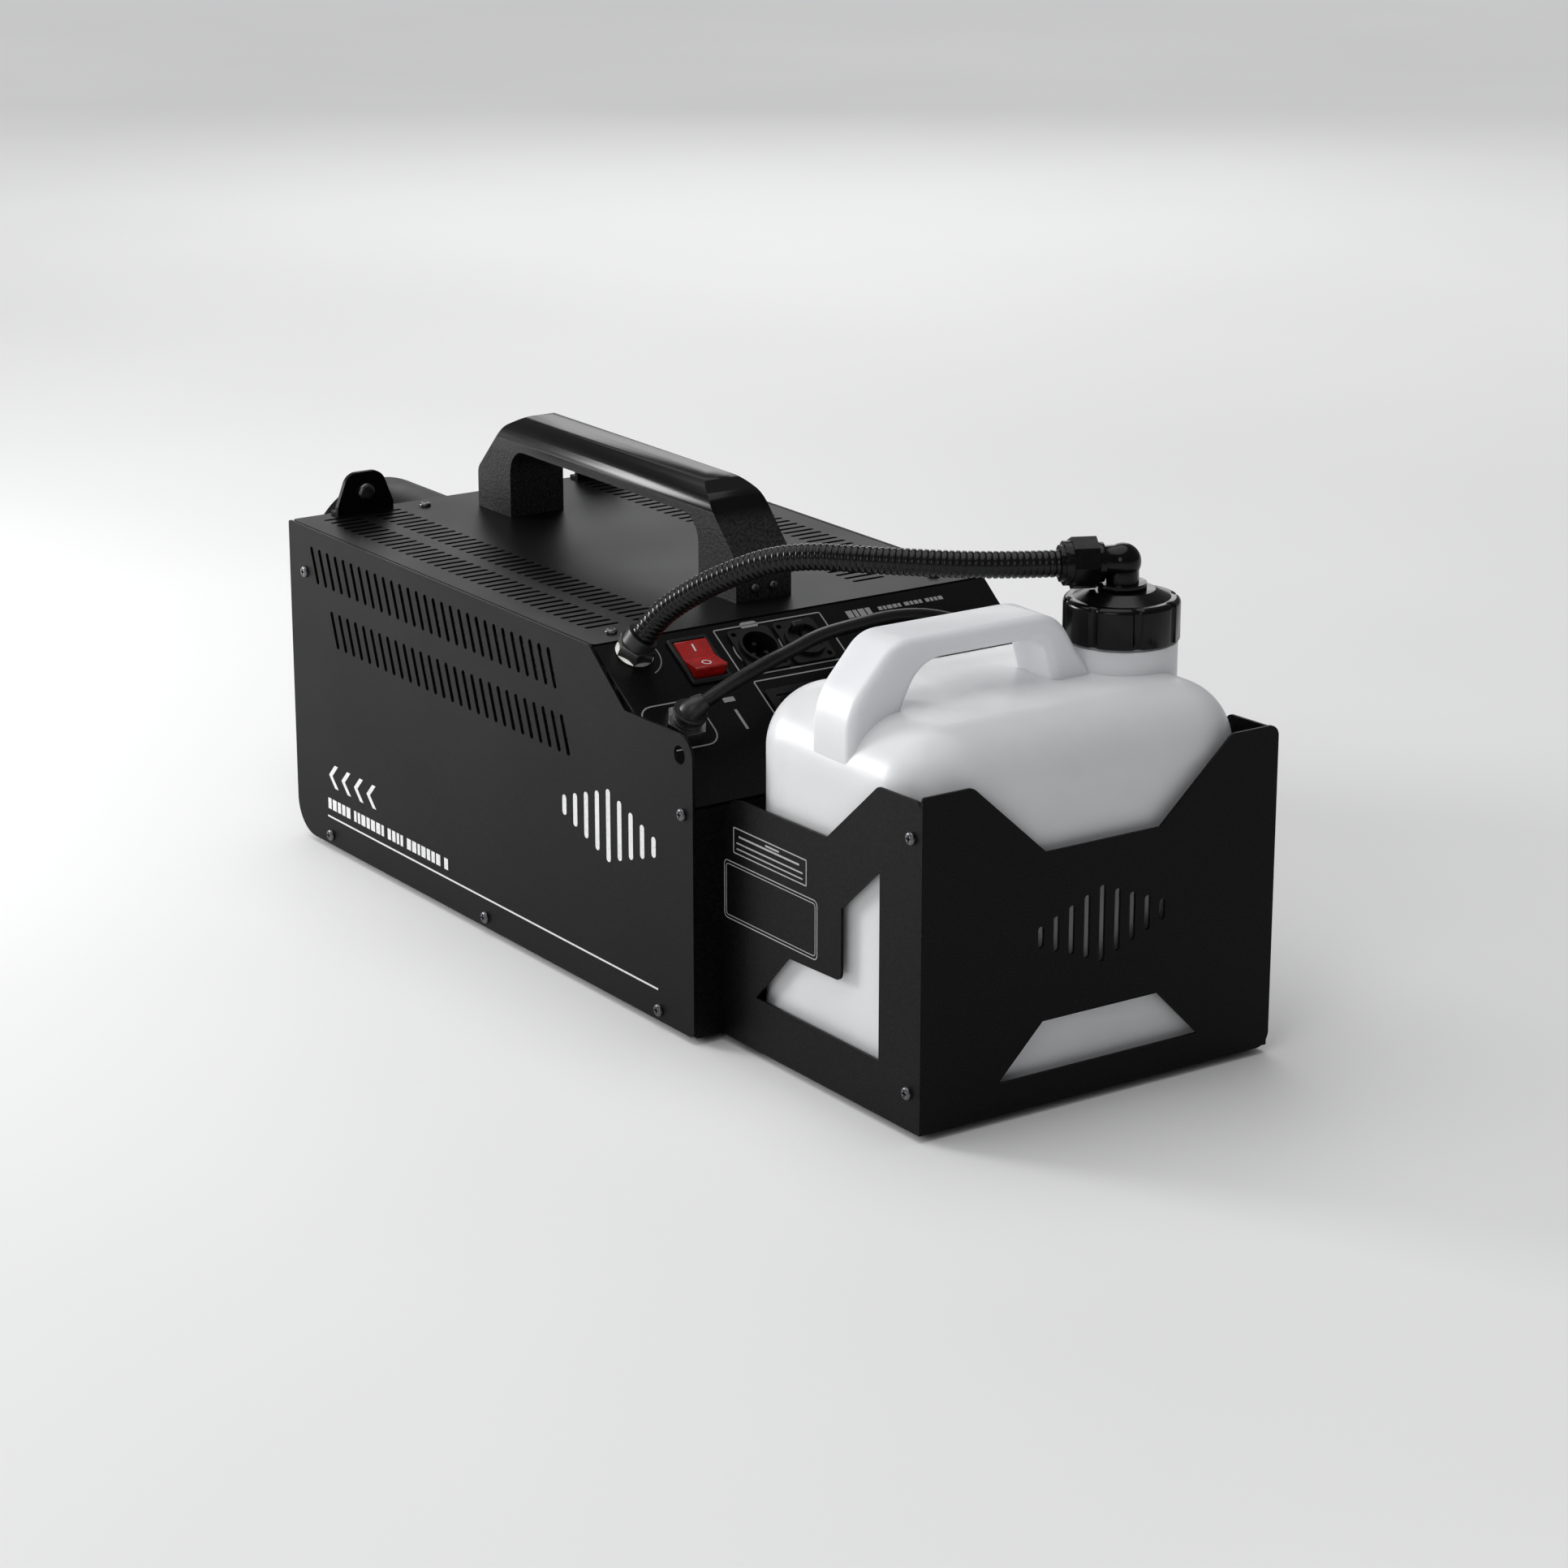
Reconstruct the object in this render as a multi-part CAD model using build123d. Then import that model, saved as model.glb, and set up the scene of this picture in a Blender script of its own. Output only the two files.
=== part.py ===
from build123d import *
import math
import os

# Fog machine: a sheet-metal housing with a nozzle hood, and a fluid jug in a basket behind it.
# Millimetres, +Z up. Everything is laid out from the housing's front face (x = 0) and the floor (z = 0),
# with the hood towards -X and the jug towards +X. save() then shifts it along X, so that the origin is
# at the middle of the footprint.

# ---------- driving dimensions ----------
FOOT_H = 4.0             # rubber feet, from the floor to the sheet metal
WIDTH = 256.0            # housing, across the side panels
SIDE_H = 188.0           # height of a side panel
FLAT_TOP = 332.0         # length of the flat top, where the control panel starts
CHEEK_X = 366.0          # where the side panels' slope ends in a level cheek
CHEEK_DROP = 27.0        # how far that cheek lies below the top
HOUSING_L = 430.0        # length of the housing
TOTAL_BACK = 603.0       # from the front face to the basket's end
BASKET_W = 221.0         # across the basket's side sheets
PANEL_DROP = 63.0        # how far the control panel falls over its length
SHEET = 1.5              # sheet-metal thickness
SEAM = 0.9               # gap between the top cover and the side panels
HOOD_R = 50.0            # nozzle hood, outer radius
HOOD_L = 125.0           # how far the hood stands out of the front face
CORNER_R = 20.0          # lower front corner of the housing
HOSE_D = 14.0            # corrugated fluid hose
LEAD_D = 7.6             # rubber mains lead
JUG_FRONT, JUG_BACK = 437.5, 596.5
JUG_HALF_W = 105.0
JUG_TOP = 196.0          # top of the jug's body
JUG_WALL = 2.5
CAP_X, CAP_Y = 522.0, 73.0

# ---------- derived ----------
TOP = FOOT_H + SIDE_H
HALF = WIDTH / 2
INNER = HALF - SHEET                     # inner face of a side panel
FLOOR_TOP = FOOT_H + SHEET
CHEEK_Z = TOP - CHEEK_DROP
BASKET = BASKET_W / 2
BACK_IN = TOTAL_BACK - SHEET             # inner face of the basket's end sheet
JUG_BASE = FLOOR_TOP + 0.5
HOOD_Z = FOOT_H + 122.0
SHIFT_X = (HOOD_L - TOTAL_BACK) / 2
PANEL_ANGLE = math.atan2(PANEL_DROP, HOUSING_L - FLAT_TOP)
PANEL_NORMAL = Vector(math.sin(PANEL_ANGLE), 0, math.cos(PANEL_ANGLE))


# ---------- helpers ----------
def save(name, *shapes):
    """Write one node: a solid, or a group of separate solids."""
    solids = [solid for shape in shapes for solid in shape.solids()]
    node = solids[0] if len(solids) == 1 else Compound(children=solids)
    node = node.moved(Location((SHIFT_X, 0, 0)))
    node.label = name
    export_step(node, "parts/" + name + ".step")


def block(x0, x1, y0, y1, z0, z1):
    """A box between two corners."""
    return Pos((x0 + x1) / 2, (y0 + y1) / 2, (z0 + z1) / 2) * Box(x1 - x0, y1 - y0, z1 - z0)


def outline(*corners):
    """A face from corners (a, b) or (a, b, radius), in order round the outline."""
    points = [(c[0], c[1]) for c in corners]
    radii = [c[2] if len(c) > 2 else 0.0 for c in corners]
    if not any(radii):
        return make_face(Polyline(*points, close=True))
    return make_face(FilletPolyline(*points, radius=radii, close=True))


def plate_xz(face, y0, y1):
    """A face drawn in x and z, as a plate from y0 to y1."""
    return extrude(Plane.XZ.offset(-y1) * face, amount=y1 - y0)


def plate_yz(face, x0, x1):
    """A face drawn in y and z, as a plate from x0 to x1."""
    return extrude(Plane.YZ.offset(x0) * face, amount=x1 - x0)


def rod(start, direction, radius, length):
    """A cylinder from a point along a direction."""
    return extrude(Plane(origin=start, z_dir=direction) * Circle(radius), amount=length)


def tube(start, direction, outer, inner, length):
    """A pipe from a point along a direction."""
    ring = Circle(outer) - Circle(inner)
    return extrude(Plane(origin=start, z_dir=direction) * ring, amount=length)


def hexagon(start, direction, across, length):
    """A hexagonal bar, given across its flats."""
    face = RegularPolygon(across / 2, 6, major_radius=False)
    return extrude(Plane(origin=start, z_dir=direction) * face, amount=length)


def pan_screw(point, direction, radius, grip=5.0):
    """A pan-head screw, head outside the sheet, with a cross recess. The point is on the sheet's surface."""
    head_h = radius * 0.62
    plane = Plane(origin=point, z_dir=direction)
    head = extrude(plane * Circle(radius), amount=head_h)
    head = fillet(head.faces().sort_by(Axis(point, direction))[-1].edges(), head_h * 0.7)
    cross = Rectangle(radius * 1.15, radius * 0.28) + Rectangle(radius * 0.28, radius * 1.15)
    recess = extrude(plane.offset(head_h * 0.45) * cross, amount=head_h)
    shank = extrude(plane * Circle(radius * 0.5), amount=-grip)
    return head - recess + shank


def panel_z(x):
    """Height of the control panel's outer face at x."""
    return TOP - math.tan(PANEL_ANGLE) * (x - FLAT_TOP)


def panel_at(x, y, height=0.0):
    """A plane on the control panel: local X along +Y, local Y up the slope, local Z out of the panel."""
    origin = Vector(x, y, panel_z(x)) + PANEL_NORMAL * height
    return Plane(origin=origin, x_dir=(0, 1, 0), z_dir=PANEL_NORMAL)


def lead_lean(degrees_over):
    """A direction leaning from the panel's normal towards +Y."""
    lean = math.radians(degrees_over)
    return PANEL_NORMAL * math.cos(lean) + Vector(0, math.sin(lean), 0)


def both_sides(shape):
    """The shape and its mirror image across the middle plane."""
    return [shape, mirror(shape, about=Plane.XZ)]


# ---------- housing ----------
UPPER_SLOTS = (27.5, 29, 180.0)          # first slot's x, count, z of its upper end
LOWER_SLOTS = (49.5, 28, 146.0)
SLOT_PITCH = 9.4
SLOT_W = 3.4
SLOT_FALL = 18.0                          # how far a slanted slot falls
SLOT_LEAN = 6.4                           # and how far it leans back
SIDE_SCREWS = ((19, 165), (40.5, 10), (219, 10), (397, 10), (420.5, 123))
BRACKET_HOLE = (418.0, 154.0, 5.0)        # x, z, radius


def slanted_slots(first, count, z_top):
    """One row of slanted slots in a side panel."""
    slots = Sketch()
    for i in range(count):
        top = Vector(first + i * SLOT_PITCH, z_top)
        low = Vector(top.X + SLOT_LEAN, z_top - SLOT_FALL)
        slots += SlotCenterToCenter((low - top).length, SLOT_W).rotate(
            Axis.Z, math.degrees(math.atan2(low.Y - top.Y, low.X - top.X))
        ).translate(((top.X + low.X) / 2, (top.Y + low.Y) / 2, 0))
    return slots


def side_panel():
    """The -Y side panel, with its two rows of slots and the bracket hole."""
    face = outline(
        (0, FOOT_H, CORNER_R), (HOUSING_L, FOOT_H, 4), (HOUSING_L, CHEEK_Z, 12),
        (CHEEK_X, CHEEK_Z, 3), (FLAT_TOP, TOP, 5), (0, TOP, 1.5),
    )
    face -= slanted_slots(*UPPER_SLOTS) + slanted_slots(*LOWER_SLOTS)
    x, z, radius = BRACKET_HOLE
    face -= Pos(x, z) * Circle(radius)
    for x, z in SIDE_SCREWS:
        face -= Pos(x, z) * Circle(1.9)
    return plate_xz(face, -HALF, -INNER)


def base_tray():
    """The bottom sheet: it curves up into the front, and is flanged up along both sides."""
    outer = outline((0, TOP), (0, FOOT_H, CORNER_R), (HOUSING_L - SHEET, FOOT_H), (HOUSING_L - SHEET, TOP))
    inner = outline(
        (SHEET, TOP + 1), (SHEET, FLOOR_TOP, CORNER_R - SHEET), (HOUSING_L, FLOOR_TOP), (HOUSING_L, TOP + 1)
    )
    sheet = plate_xz(outer - inner, -INNER, INNER)
    sheet -= block(-1, HOUSING_L, -HALF, HALF, FOOT_H + CORNER_R, TOP + 1)
    flange = block(CORNER_R, HOUSING_L - SHEET, -INNER, -INNER + SHEET, FLOOR_TOP, FLOOR_TOP + 12)
    for x, z in SIDE_SCREWS:
        flange -= rod((x, -HALF, z), (0, 1, 0), 1.9, 10)
    tray = sheet
    for side in both_sides(flange):
        tray += side
    for i in range(9):
        x = 60 + i * 38
        tray -= block(x, x + 4, -70, 70, FOOT_H - 1, FLOOR_TOP + 1)
    return tray


def front_panel():
    """The front sheet, with the round mouth of the hood."""
    width = INNER - SEAM
    sheet = block(0, SHEET, -width, width, FOOT_H + CORNER_R, TOP - SHEET)
    return sheet - rod((-1, 0, HOOD_Z), (1, 0, 0), HOOD_R - 8, 5)


TOP_SCREWS = ((14.5, 45), (14.5, -45), (317, 105), (317, -105))
VENT_ROWS = (-101.5, -71.5, 71.5, 101.5)
VENT_LEN = 21.0
VENT_W = 3.2
VENT_PITCH = 8.0
VENT_COUNT = 37
HANDLE_FRONT, HANDLE_BACK = 31.0, 305.0


def top_cover():
    """The flat top, flanged down at both sides, with four rows of vent slots."""
    width = INNER - SEAM
    face = Pos(FLAT_TOP / 2, 0) * RectangleRounded(FLAT_TOP, 2 * width, 3)
    for y in VENT_ROWS:
        for i in range(VENT_COUNT):
            face -= Pos(14 + i * VENT_PITCH, y) * Rot(0, 0, 90) * SlotOverall(VENT_LEN, VENT_W)
    for x, y in TOP_SCREWS:
        face -= Pos(x, y) * Circle(1.9)
    cover = Pos(0, 0, TOP - SHEET) * extrude(face, amount=SHEET)
    flange = block(6, FLAT_TOP - 16, -width, -width + SHEET, TOP - 16, TOP - SHEET)
    for side in both_sides(flange):
        cover += side
    return cover


def rear_wall():
    """The upright sheet below the control panel."""
    width = INNER - 0.2
    return block(HOUSING_L - SHEET, HOUSING_L, -width, width, FOOT_H, panel_z(HOUSING_L) - 2)


def feet():
    """Six low rubber feet: four under the housing, two under the basket."""
    places = [(45, 85), (45, -85), (385, 85), (385, -85), (575, 75), (575, -75)]
    pads = []
    for x, y in places:
        pad = rod((x, y, 0), (0, 0, 1), 10, FOOT_H)
        pads.append(fillet(pad.faces().sort_by(Axis.Z)[0].edges(), 1.0))
    return pads


def lug_bracket():
    """The -Y lug on top of the front edge: a rounded tab on a foot, with a bolt hole."""
    tab_x, tab_y, base, bolt_z = 8.0, -82.0, 18.5, TOP + 12.5
    tab = outline(
        (tab_y - base, TOP), (tab_y + base, TOP), (tab_y + base, TOP + 5, 2),
        (tab_y + 11, TOP + 24.5, 9), (tab_y - 11, TOP + 24.5, 9), (tab_y - base, TOP + 5, 2),
    )
    tab -= Pos(tab_y, bolt_z) * Circle(3.1)
    bracket = plate_yz(tab, tab_x - 1.5, tab_x + 1.5)
    bracket += block(tab_x - 7, tab_x + 1.5, tab_y - base, tab_y + base, TOP, TOP + 2)
    bolt = rod((tab_x + 1.5, tab_y, bolt_z), (1, 0, 0), 5.4, 3.4)
    bolt = fillet(bolt.faces().sort_by(Axis.X)[-1].edges(), 2.2)
    bolt -= hexagon((tab_x + 3.0, tab_y, bolt_z), (1, 0, 0), 4.0, 5)
    bolt += rod((tab_x - 6.0, tab_y, bolt_z), (1, 0, 0), 3.0, 7.5)
    nut = hexagon((tab_x - 6.0, tab_y, bolt_z), (1, 0, 0), 10.0, 4.5)
    return bracket, bolt + nut


# ---------- carry handle ----------
HANDLE_HALF = 18.0
HANDLE_TOP = TOP + 61.5
HANDLE_EDGE = TOP + 51.0                  # where the bar's side turns into its domed top
GRIP_Z = TOP + 41.0                       # underside of the bar
LEG_L = 37.0
HANDLE_SCREWS = [
    (x, y, TOP + 7, way) for x, way in ((HANDLE_FRONT, -1), (HANDLE_BACK, 1)) for y in (-6.0, 6.0)
]                                         # x, y, z and the way each head faces


def carry_handle():
    """A moulded handle: two splayed legs and a bar with a domed top."""
    front, back = HANDLE_FRONT, HANDLE_BACK
    profile = outline(
        (front, TOP), (front, TOP + 23, 8), (front + 29, HANDLE_EDGE + 2, 16), (front + 46, HANDLE_TOP, 24),
        (back - 46, HANDLE_TOP, 24), (back - 29, HANDLE_EDGE + 2, 16), (back, TOP + 23, 8), (back, TOP),
        (back - LEG_L, TOP), (back - LEG_L, GRIP_Z, 15), (front + LEG_L, GRIP_Z, 15), (front + LEG_L, TOP),
    )
    body = plate_xz(profile, -HANDLE_HALF, HANDLE_HALF)
    dome = outline(
        (-HANDLE_HALF, TOP - 1), (HANDLE_HALF, TOP - 1), (HANDLE_HALF, HANDLE_TOP, 15.5),
        (-HANDLE_HALF, HANDLE_TOP, 15.5),
    )
    body &= plate_yz(dome, front - 1, back + 1)
    for x in (front + LEG_L / 2, back - LEG_L / 2):
        body -= block(x - 12, x + 12, -12, 12, TOP - 1, TOP + 3)
    for x, y, z, direction in HANDLE_SCREWS:
        body -= rod((x - direction * 5, y, z), (direction, 0, 0), 1.5, 10)
    return body


def handle_screws():
    """Two small screws low on the outer face of each leg."""
    return [pan_screw((x, y, z), (way, 0, 0), 2.6, 4) for x, y, z, way in HANDLE_SCREWS]


# ---------- control panel ----------
HOSE_GLAND = (341.0, -106.0)              # x and y of each item on the panel
LEAD_GLAND = (386.0, -104.0)
ROCKER = (351.5, -72.5)
SOCKET_IN = (351.5, -35.0)
SOCKET_OUT = (351.5, -6.0)
DISPLAY = (385.0, -20.0)
BUTTON_YS = (-44.0, -28.0, -12.0, 4.0)
BUTTON_X = 403.0
FUSE = (386.0, 60.0)
SOCKET_R = 11.5
GLAND_NUT_H = 8.5                         # height of the hose gland's nut over the panel
LEAD_LEAN = 50.0                          # how far the lead's sleeve leans over towards +Y
PANEL_SCREWS = ((338.0, 118.0), (338.0, -120.0), (424.0, 118.0), (424.0, -118.0))


LEAD_BASE = Vector(LEAD_GLAND[0], LEAD_GLAND[1], panel_z(LEAD_GLAND[0])) + PANEL_NORMAL * 12
LEAD_MOUTH = LEAD_BASE + lead_lean(LEAD_LEAN) * 9
GLAND_TOP = Vector(HOSE_GLAND[0], HOSE_GLAND[1], panel_z(HOSE_GLAND[0])) + PANEL_NORMAL * GLAND_NUT_H
HOSE_START = GLAND_TOP + lead_lean(14) * 5


def cut_through(x, y, face):
    """A hole through the control panel."""
    return extrude(panel_at(x, y, -8) * face, amount=16)


def control_panel():
    """The sloped panel, flanged under the top cover, with its cut-outs."""
    width = INNER - 0.2
    start, low_z = FLAT_TOP + 1.2, panel_z(HOUSING_L)
    under_x = FLAT_TOP + (2 * SHEET * math.cos(PANEL_ANGLE) - SHEET) / math.sin(PANEL_ANGLE)
    in_x, in_z = PANEL_NORMAL.X * SHEET, PANEL_NORMAL.Z * SHEET
    profile = outline(
        (start, panel_z(start)), (HOUSING_L, low_z), (HOUSING_L - in_x, low_z - in_z),
        (under_x, TOP - 2 * SHEET), (FLAT_TOP - 14, TOP - 2 * SHEET), (FLAT_TOP - 14, TOP - SHEET),
        (start - 1, TOP - SHEET),
    )
    panel = plate_xz(profile, -width, width)
    panel -= cut_through(*HOSE_GLAND, Circle(6.6))
    panel -= cut_through(*LEAD_GLAND, Circle(6.6))
    panel -= cut_through(*ROCKER, Rectangle(22.4, 29.4))
    for place in (SOCKET_IN, SOCKET_OUT):
        panel -= cut_through(*place, Circle(SOCKET_R + 0.5))
    panel -= cut_through(*DISPLAY, Rectangle(50, 18))
    for y in BUTTON_YS:
        panel -= cut_through(BUTTON_X, y, Circle(3.4))
    panel -= cut_through(*FUSE, Circle(6.4))
    for x, y in TOP_SCREWS[2:]:
        panel -= rod((x, y, TOP - 8), (0, 0, 1), 1.9, 10)
    return panel


ROCKER_TILT = 10.0                        # the rocker rests this far over, its lower end raised
ROCKER_PIVOT = -1.0                       # height of its pivot over the panel's face


def switch_housing():
    """A snap-in frame with a bezel, a box with the pivot pin behind the panel, and three blade terminals."""
    plane = panel_at(*ROCKER)
    bezel = extrude(plane * RectangleRounded(25.5, 32.5, 2), amount=2.2)
    bezel = chamfer(bezel.faces().sort_by(Axis(plane.origin, PANEL_NORMAL))[-1].edges(), 0.8)
    box_behind = extrude(plane * Rectangle(21.8, 28.8), amount=-20)
    opening = extrude(plane.offset(-12) * Rectangle(20.2, 27), amount=20)
    body = bezel + box_behind - opening
    for v in (-7, 0, 7):
        body += extrude(plane.offset(-20) * Pos(0, v) * Rectangle(6.3, 0.8), amount=-9)
    pivot = panel_at(*ROCKER, ROCKER_PIVOT).origin
    return body + rod((pivot.X, pivot.Y - 10.9, pivot.Z), (0, 1, 0), 1.1, 21.8)


def switch_rocker():
    """The red rocker: a shallow V seen from the side, on its pivot pin, its upper end pressed in."""
    half_width = 9.8
    side = outline((-11, -7), (11, -7), (12.2, 6.2, 1), (0, 3.0), (-12.2, 6.2, 1))
    rocker = extrude(side, amount=half_width, both=True)
    rocker = fillet(rocker.edges().filter_by(Axis.Z).group_by(Axis.Y)[0], 3)
    rocker -= Cylinder(1.3, 40)
    plane = panel_at(*ROCKER, ROCKER_PIVOT)
    across = Plane(origin=plane.origin, x_dir=plane.y_dir, z_dir=(0, 1, 0))
    return across.location * Rot(0, 0, -ROCKER_TILT) * rocker


def data_socket(place, male):
    """A round three-pole chassis socket on a small flange, its pins or its contact block, and a rear shell."""
    plane = panel_at(*place)
    flange = extrude(plane * RectangleRounded(26, 30, 3), amount=1.6)
    for u, v in ((-9.6, 11.6), (9.6, -11.6)):
        flange -= extrude(plane.offset(-2) * Pos(u, v) * Circle(1.6), amount=6)
    shell = extrude(plane.offset(-20) * Circle(SOCKET_R), amount=24)
    recess_depth = 15.0 if male else 3.0
    recess = extrude(plane.offset(4 - recess_depth) * Circle(SOCKET_R - 1.6), amount=recess_depth + 1)
    body = flange + shell - recess
    for angle in (90, 210, 330):
        u, v = 4.6 * math.cos(math.radians(angle)), 4.6 * math.sin(math.radians(angle))
        if male:
            body += extrude(plane.offset(4 - recess_depth) * Pos(u, v) * Circle(1.2), amount=11)
        else:
            body -= extrude(plane.offset(-11) * Pos(u, v) * Circle(1.4), amount=20)
    if not male:
        body -= extrude(plane.offset(-6) * Pos(0, SOCKET_R - 2.2) * Rectangle(7.6, 4.8), amount=20)
    return body


def socket_latch():
    """The spring tab that frees a plug from the output socket."""
    plane = panel_at(*SOCKET_OUT)
    tab = extrude(plane.offset(-4.0) * Pos(0, SOCKET_R - 2.2) * Rectangle(6.8, 3.8), amount=9.4)
    return fillet(tab.faces().sort_by(Axis(plane.origin, PANEL_NORMAL))[-1].edges(), 0.9)


def display_module():
    """The display: a bezel and its window over a circuit board, which also carries the button switches."""
    plane = panel_at(*DISPLAY)
    bezel = extrude(plane * RectangleRounded(56, 23, 2), amount=1.6)
    bezel -= extrude(plane.offset(-1) * Rectangle(46, 14), amount=5)
    frame = extrude(plane.offset(-6) * Rectangle(49.6, 17.6), amount=6)
    frame -= extrude(plane.offset(-7) * Rectangle(46, 14), amount=9)
    window = extrude(plane.offset(-1.5) * Rectangle(45.8, 13.8), amount=2.2)
    board_plane = panel_at(DISPLAY[0] + 7, DISPLAY[1])
    board = extrude(board_plane.offset(-7.6) * Rectangle(62, 42), amount=1.6)
    return bezel + frame, window, board


def menu_button(y):
    """A round push button through the panel, with a collar behind it."""
    plane = panel_at(BUTTON_X, y)
    button = extrude(plane.offset(-4.5) * Circle(3.1), amount=6.3)
    button = fillet(button.faces().sort_by(Axis(plane.origin, PANEL_NORMAL))[-1].edges(), 0.6)
    return button + extrude(plane.offset(-4.5) * Circle(4.4), amount=1.4)


def fuse_holder():
    """A panel fuse holder: collar, body and nut, and its bayonet cap with a screwdriver slot."""
    plane = panel_at(*FUSE)
    body = extrude(plane * Circle(8.5), amount=2)
    body += extrude(plane.offset(-30) * Circle(6.2), amount=30)
    body += extrude(plane.offset(-SHEET - 4) * RegularPolygon(8.2, 6), amount=3.4)
    body -= extrude(plane.offset(-14) * Circle(4.9), amount=20)
    cap = extrude(plane.offset(-12) * Circle(4.8), amount=14.2)
    cap += extrude(plane.offset(2.1) * Circle(7.2), amount=5)
    cap = fillet(cap.faces().sort_by(Axis(plane.origin, PANEL_NORMAL))[-1].edges(), 1.2)
    cap -= extrude(plane.offset(5.8) * Rectangle(16, 1.6), amount=4)
    return body, cap


def hose_gland():
    """A nickel hex nut on a washer, a collar that leans with the hose, and a threaded tail and lock nut."""
    plane = panel_at(*HOSE_GLAND)
    nut = extrude(plane.offset(1) * RegularPolygon(9.2, 6, major_radius=False), amount=GLAND_NUT_H - 1)
    mouth = Plane(origin=HOSE_START, z_dir=lead_lean(20))
    collar = loft([plane.offset(GLAND_NUT_H) * Circle(8.6), mouth * Circle(8.6)])
    washer = extrude(plane * Circle(10.5), amount=1)
    tail = extrude(plane.offset(-16) * Circle(6.3), amount=17)
    lock = extrude(plane.offset(-SHEET - 5) * RegularPolygon(7.2, 6, major_radius=False), amount=5)
    bore = extrude(plane.offset(-17) * Circle(3.6), amount=17 + GLAND_NUT_H)
    bore += extrude(Plane(origin=GLAND_TOP, z_dir=lead_lean(14)) * Circle(3.6), amount=8)
    return nut + collar + washer + tail + lock - bore


def lead_gland():
    """The mains lead's gland: a nickel nut, ribs and a bent, tapered sleeve that the lead leaves from."""
    plane = panel_at(*LEAD_GLAND)
    body = extrude(plane * RegularPolygon(10.0, 6, major_radius=False), amount=5)
    body += extrude(plane.offset(5) * Circle(7.0), amount=7)
    for i in range(3):
        body += extrude(plane.offset(5.4 + i * 2.3) * Circle(8.0 + i * 0.6), amount=1.4)
    body += extrude(plane.offset(-12) * Circle(6.3), amount=12)
    body += extrude(plane.offset(-SHEET - 5) * RegularPolygon(9.0, 6, major_radius=False), amount=5)
    bend = Plane(origin=(LEAD_BASE + LEAD_MOUTH) / 2 + PANEL_NORMAL * 1.2, z_dir=lead_lean(25))
    sleeve = loft([
        plane.offset(11.9) * Circle(6.4), bend * Circle(5.6),
        Plane(origin=LEAD_MOUTH, z_dir=lead_lean(LEAD_LEAN)) * Circle(LEAD_D / 2 + 0.8),
    ])
    return body + sleeve


# ---------- basket ----------
BASKET_SCREWS = ((594.5, 150), (593, 19.5))


def basket_side():
    """The -Y side sheet of the basket, with its angular cut-out and a flange along the floor."""
    z = FOOT_H
    face = outline(
        (HOUSING_L, z), (BACK_IN, z), (BACK_IN, z + 169.5, 4),
        (566.5, z + 168.5, 4), (523.5, z + 131.5, 3), (447, z + 130), (438.5, z + 128, 5), (HOUSING_L, z + 112),
    )
    face -= outline(
        (568.5, z + 126), (568.5, z + 28.5), (461, z + 28.5), (490, z + 58.5), (536.3, z + 60, 4), (536.3, z + 98),
    )
    for x, dz in BASKET_SCREWS:
        face -= Pos(x, z + dz) * Circle(1.9)
    return plate_xz(face, -BASKET, -BASKET + SHEET)


def basket_end():
    """The end sheet: a notch at the top, a low window, a row of bars as the ornament, and side returns."""
    z = FOOT_H
    face = outline(
        (-BASKET, z), (BASKET, z, 8), (BASKET, z + 172, 6), (80.5, z + 172, 6), (35.5, z + 131.5),
        (-35.5, z + 131.5), (-80.5, z + 172, 6), (-BASKET, z + 172, 2),
    )
    face -= outline((-36, z + 44), (36, z + 44), (63, z + 17), (-63, z + 17))
    for i in range(-4, 5):
        reach = 20 - 3.6 * abs(i)
        face -= Pos(i * 9.5, z + 88) * SlotOverall(2 * reach, 3.6, rotation=90)
    sheet = plate_yz(face, TOTAL_BACK - SHEET, TOTAL_BACK)
    inner_y = BASKET - SHEET
    returns = block(
        TOTAL_BACK - 16, TOTAL_BACK - SHEET, -inner_y, -inner_y + SHEET, z + SHEET + 2, z + 160
    )
    for x, dz in BASKET_SCREWS:
        returns -= rod((x, -BASKET, z + dz), (0, 1, 0), 1.9, 10)
    for side in both_sides(returns):
        sheet += side
    return sheet


def basket_floor():
    """The floor sheet, from under the housing to the end sheet."""
    half = BASKET - SHEET
    return block(HOUSING_L, TOTAL_BACK - SHEET, -half, half, FOOT_H, FLOOR_TOP)


# ---------- nozzles and heaters ----------
NOZZLE_Y = 22.0
HEATER_FRONT = 40.0
HEATER_L = 190.0


def fog_hood():
    """The round hood: a rolled tube with a flange on the front panel and a rolled lip."""
    hood = tube((-HOOD_L, 0, HOOD_Z), (1, 0, 0), HOOD_R, HOOD_R - 2, HOOD_L)
    hood += tube((-HOOD_L, 0, HOOD_Z), (1, 0, 0), HOOD_R, HOOD_R - 4, 4)
    hood += tube((-2, 0, HOOD_Z), (1, 0, 0), HOOD_R + 6, HOOD_R - 2, 2)
    return hood


def nozzle(y):
    """A brass nozzle: a pipe out of the heater, a hexagon and a stepped tip with a fine bore."""
    z = HOOD_Z
    body = rod((-34, y, z), (1, 0, 0), 5, 34 + HEATER_FRONT)
    body += hexagon((-42, y, z), (1, 0, 0), 16, 10)
    body += rod((-54, y, z), (1, 0, 0), 5.6, 12)
    return body - rod((-55, y, z), (1, 0, 0), 1.2, 60)


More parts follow.
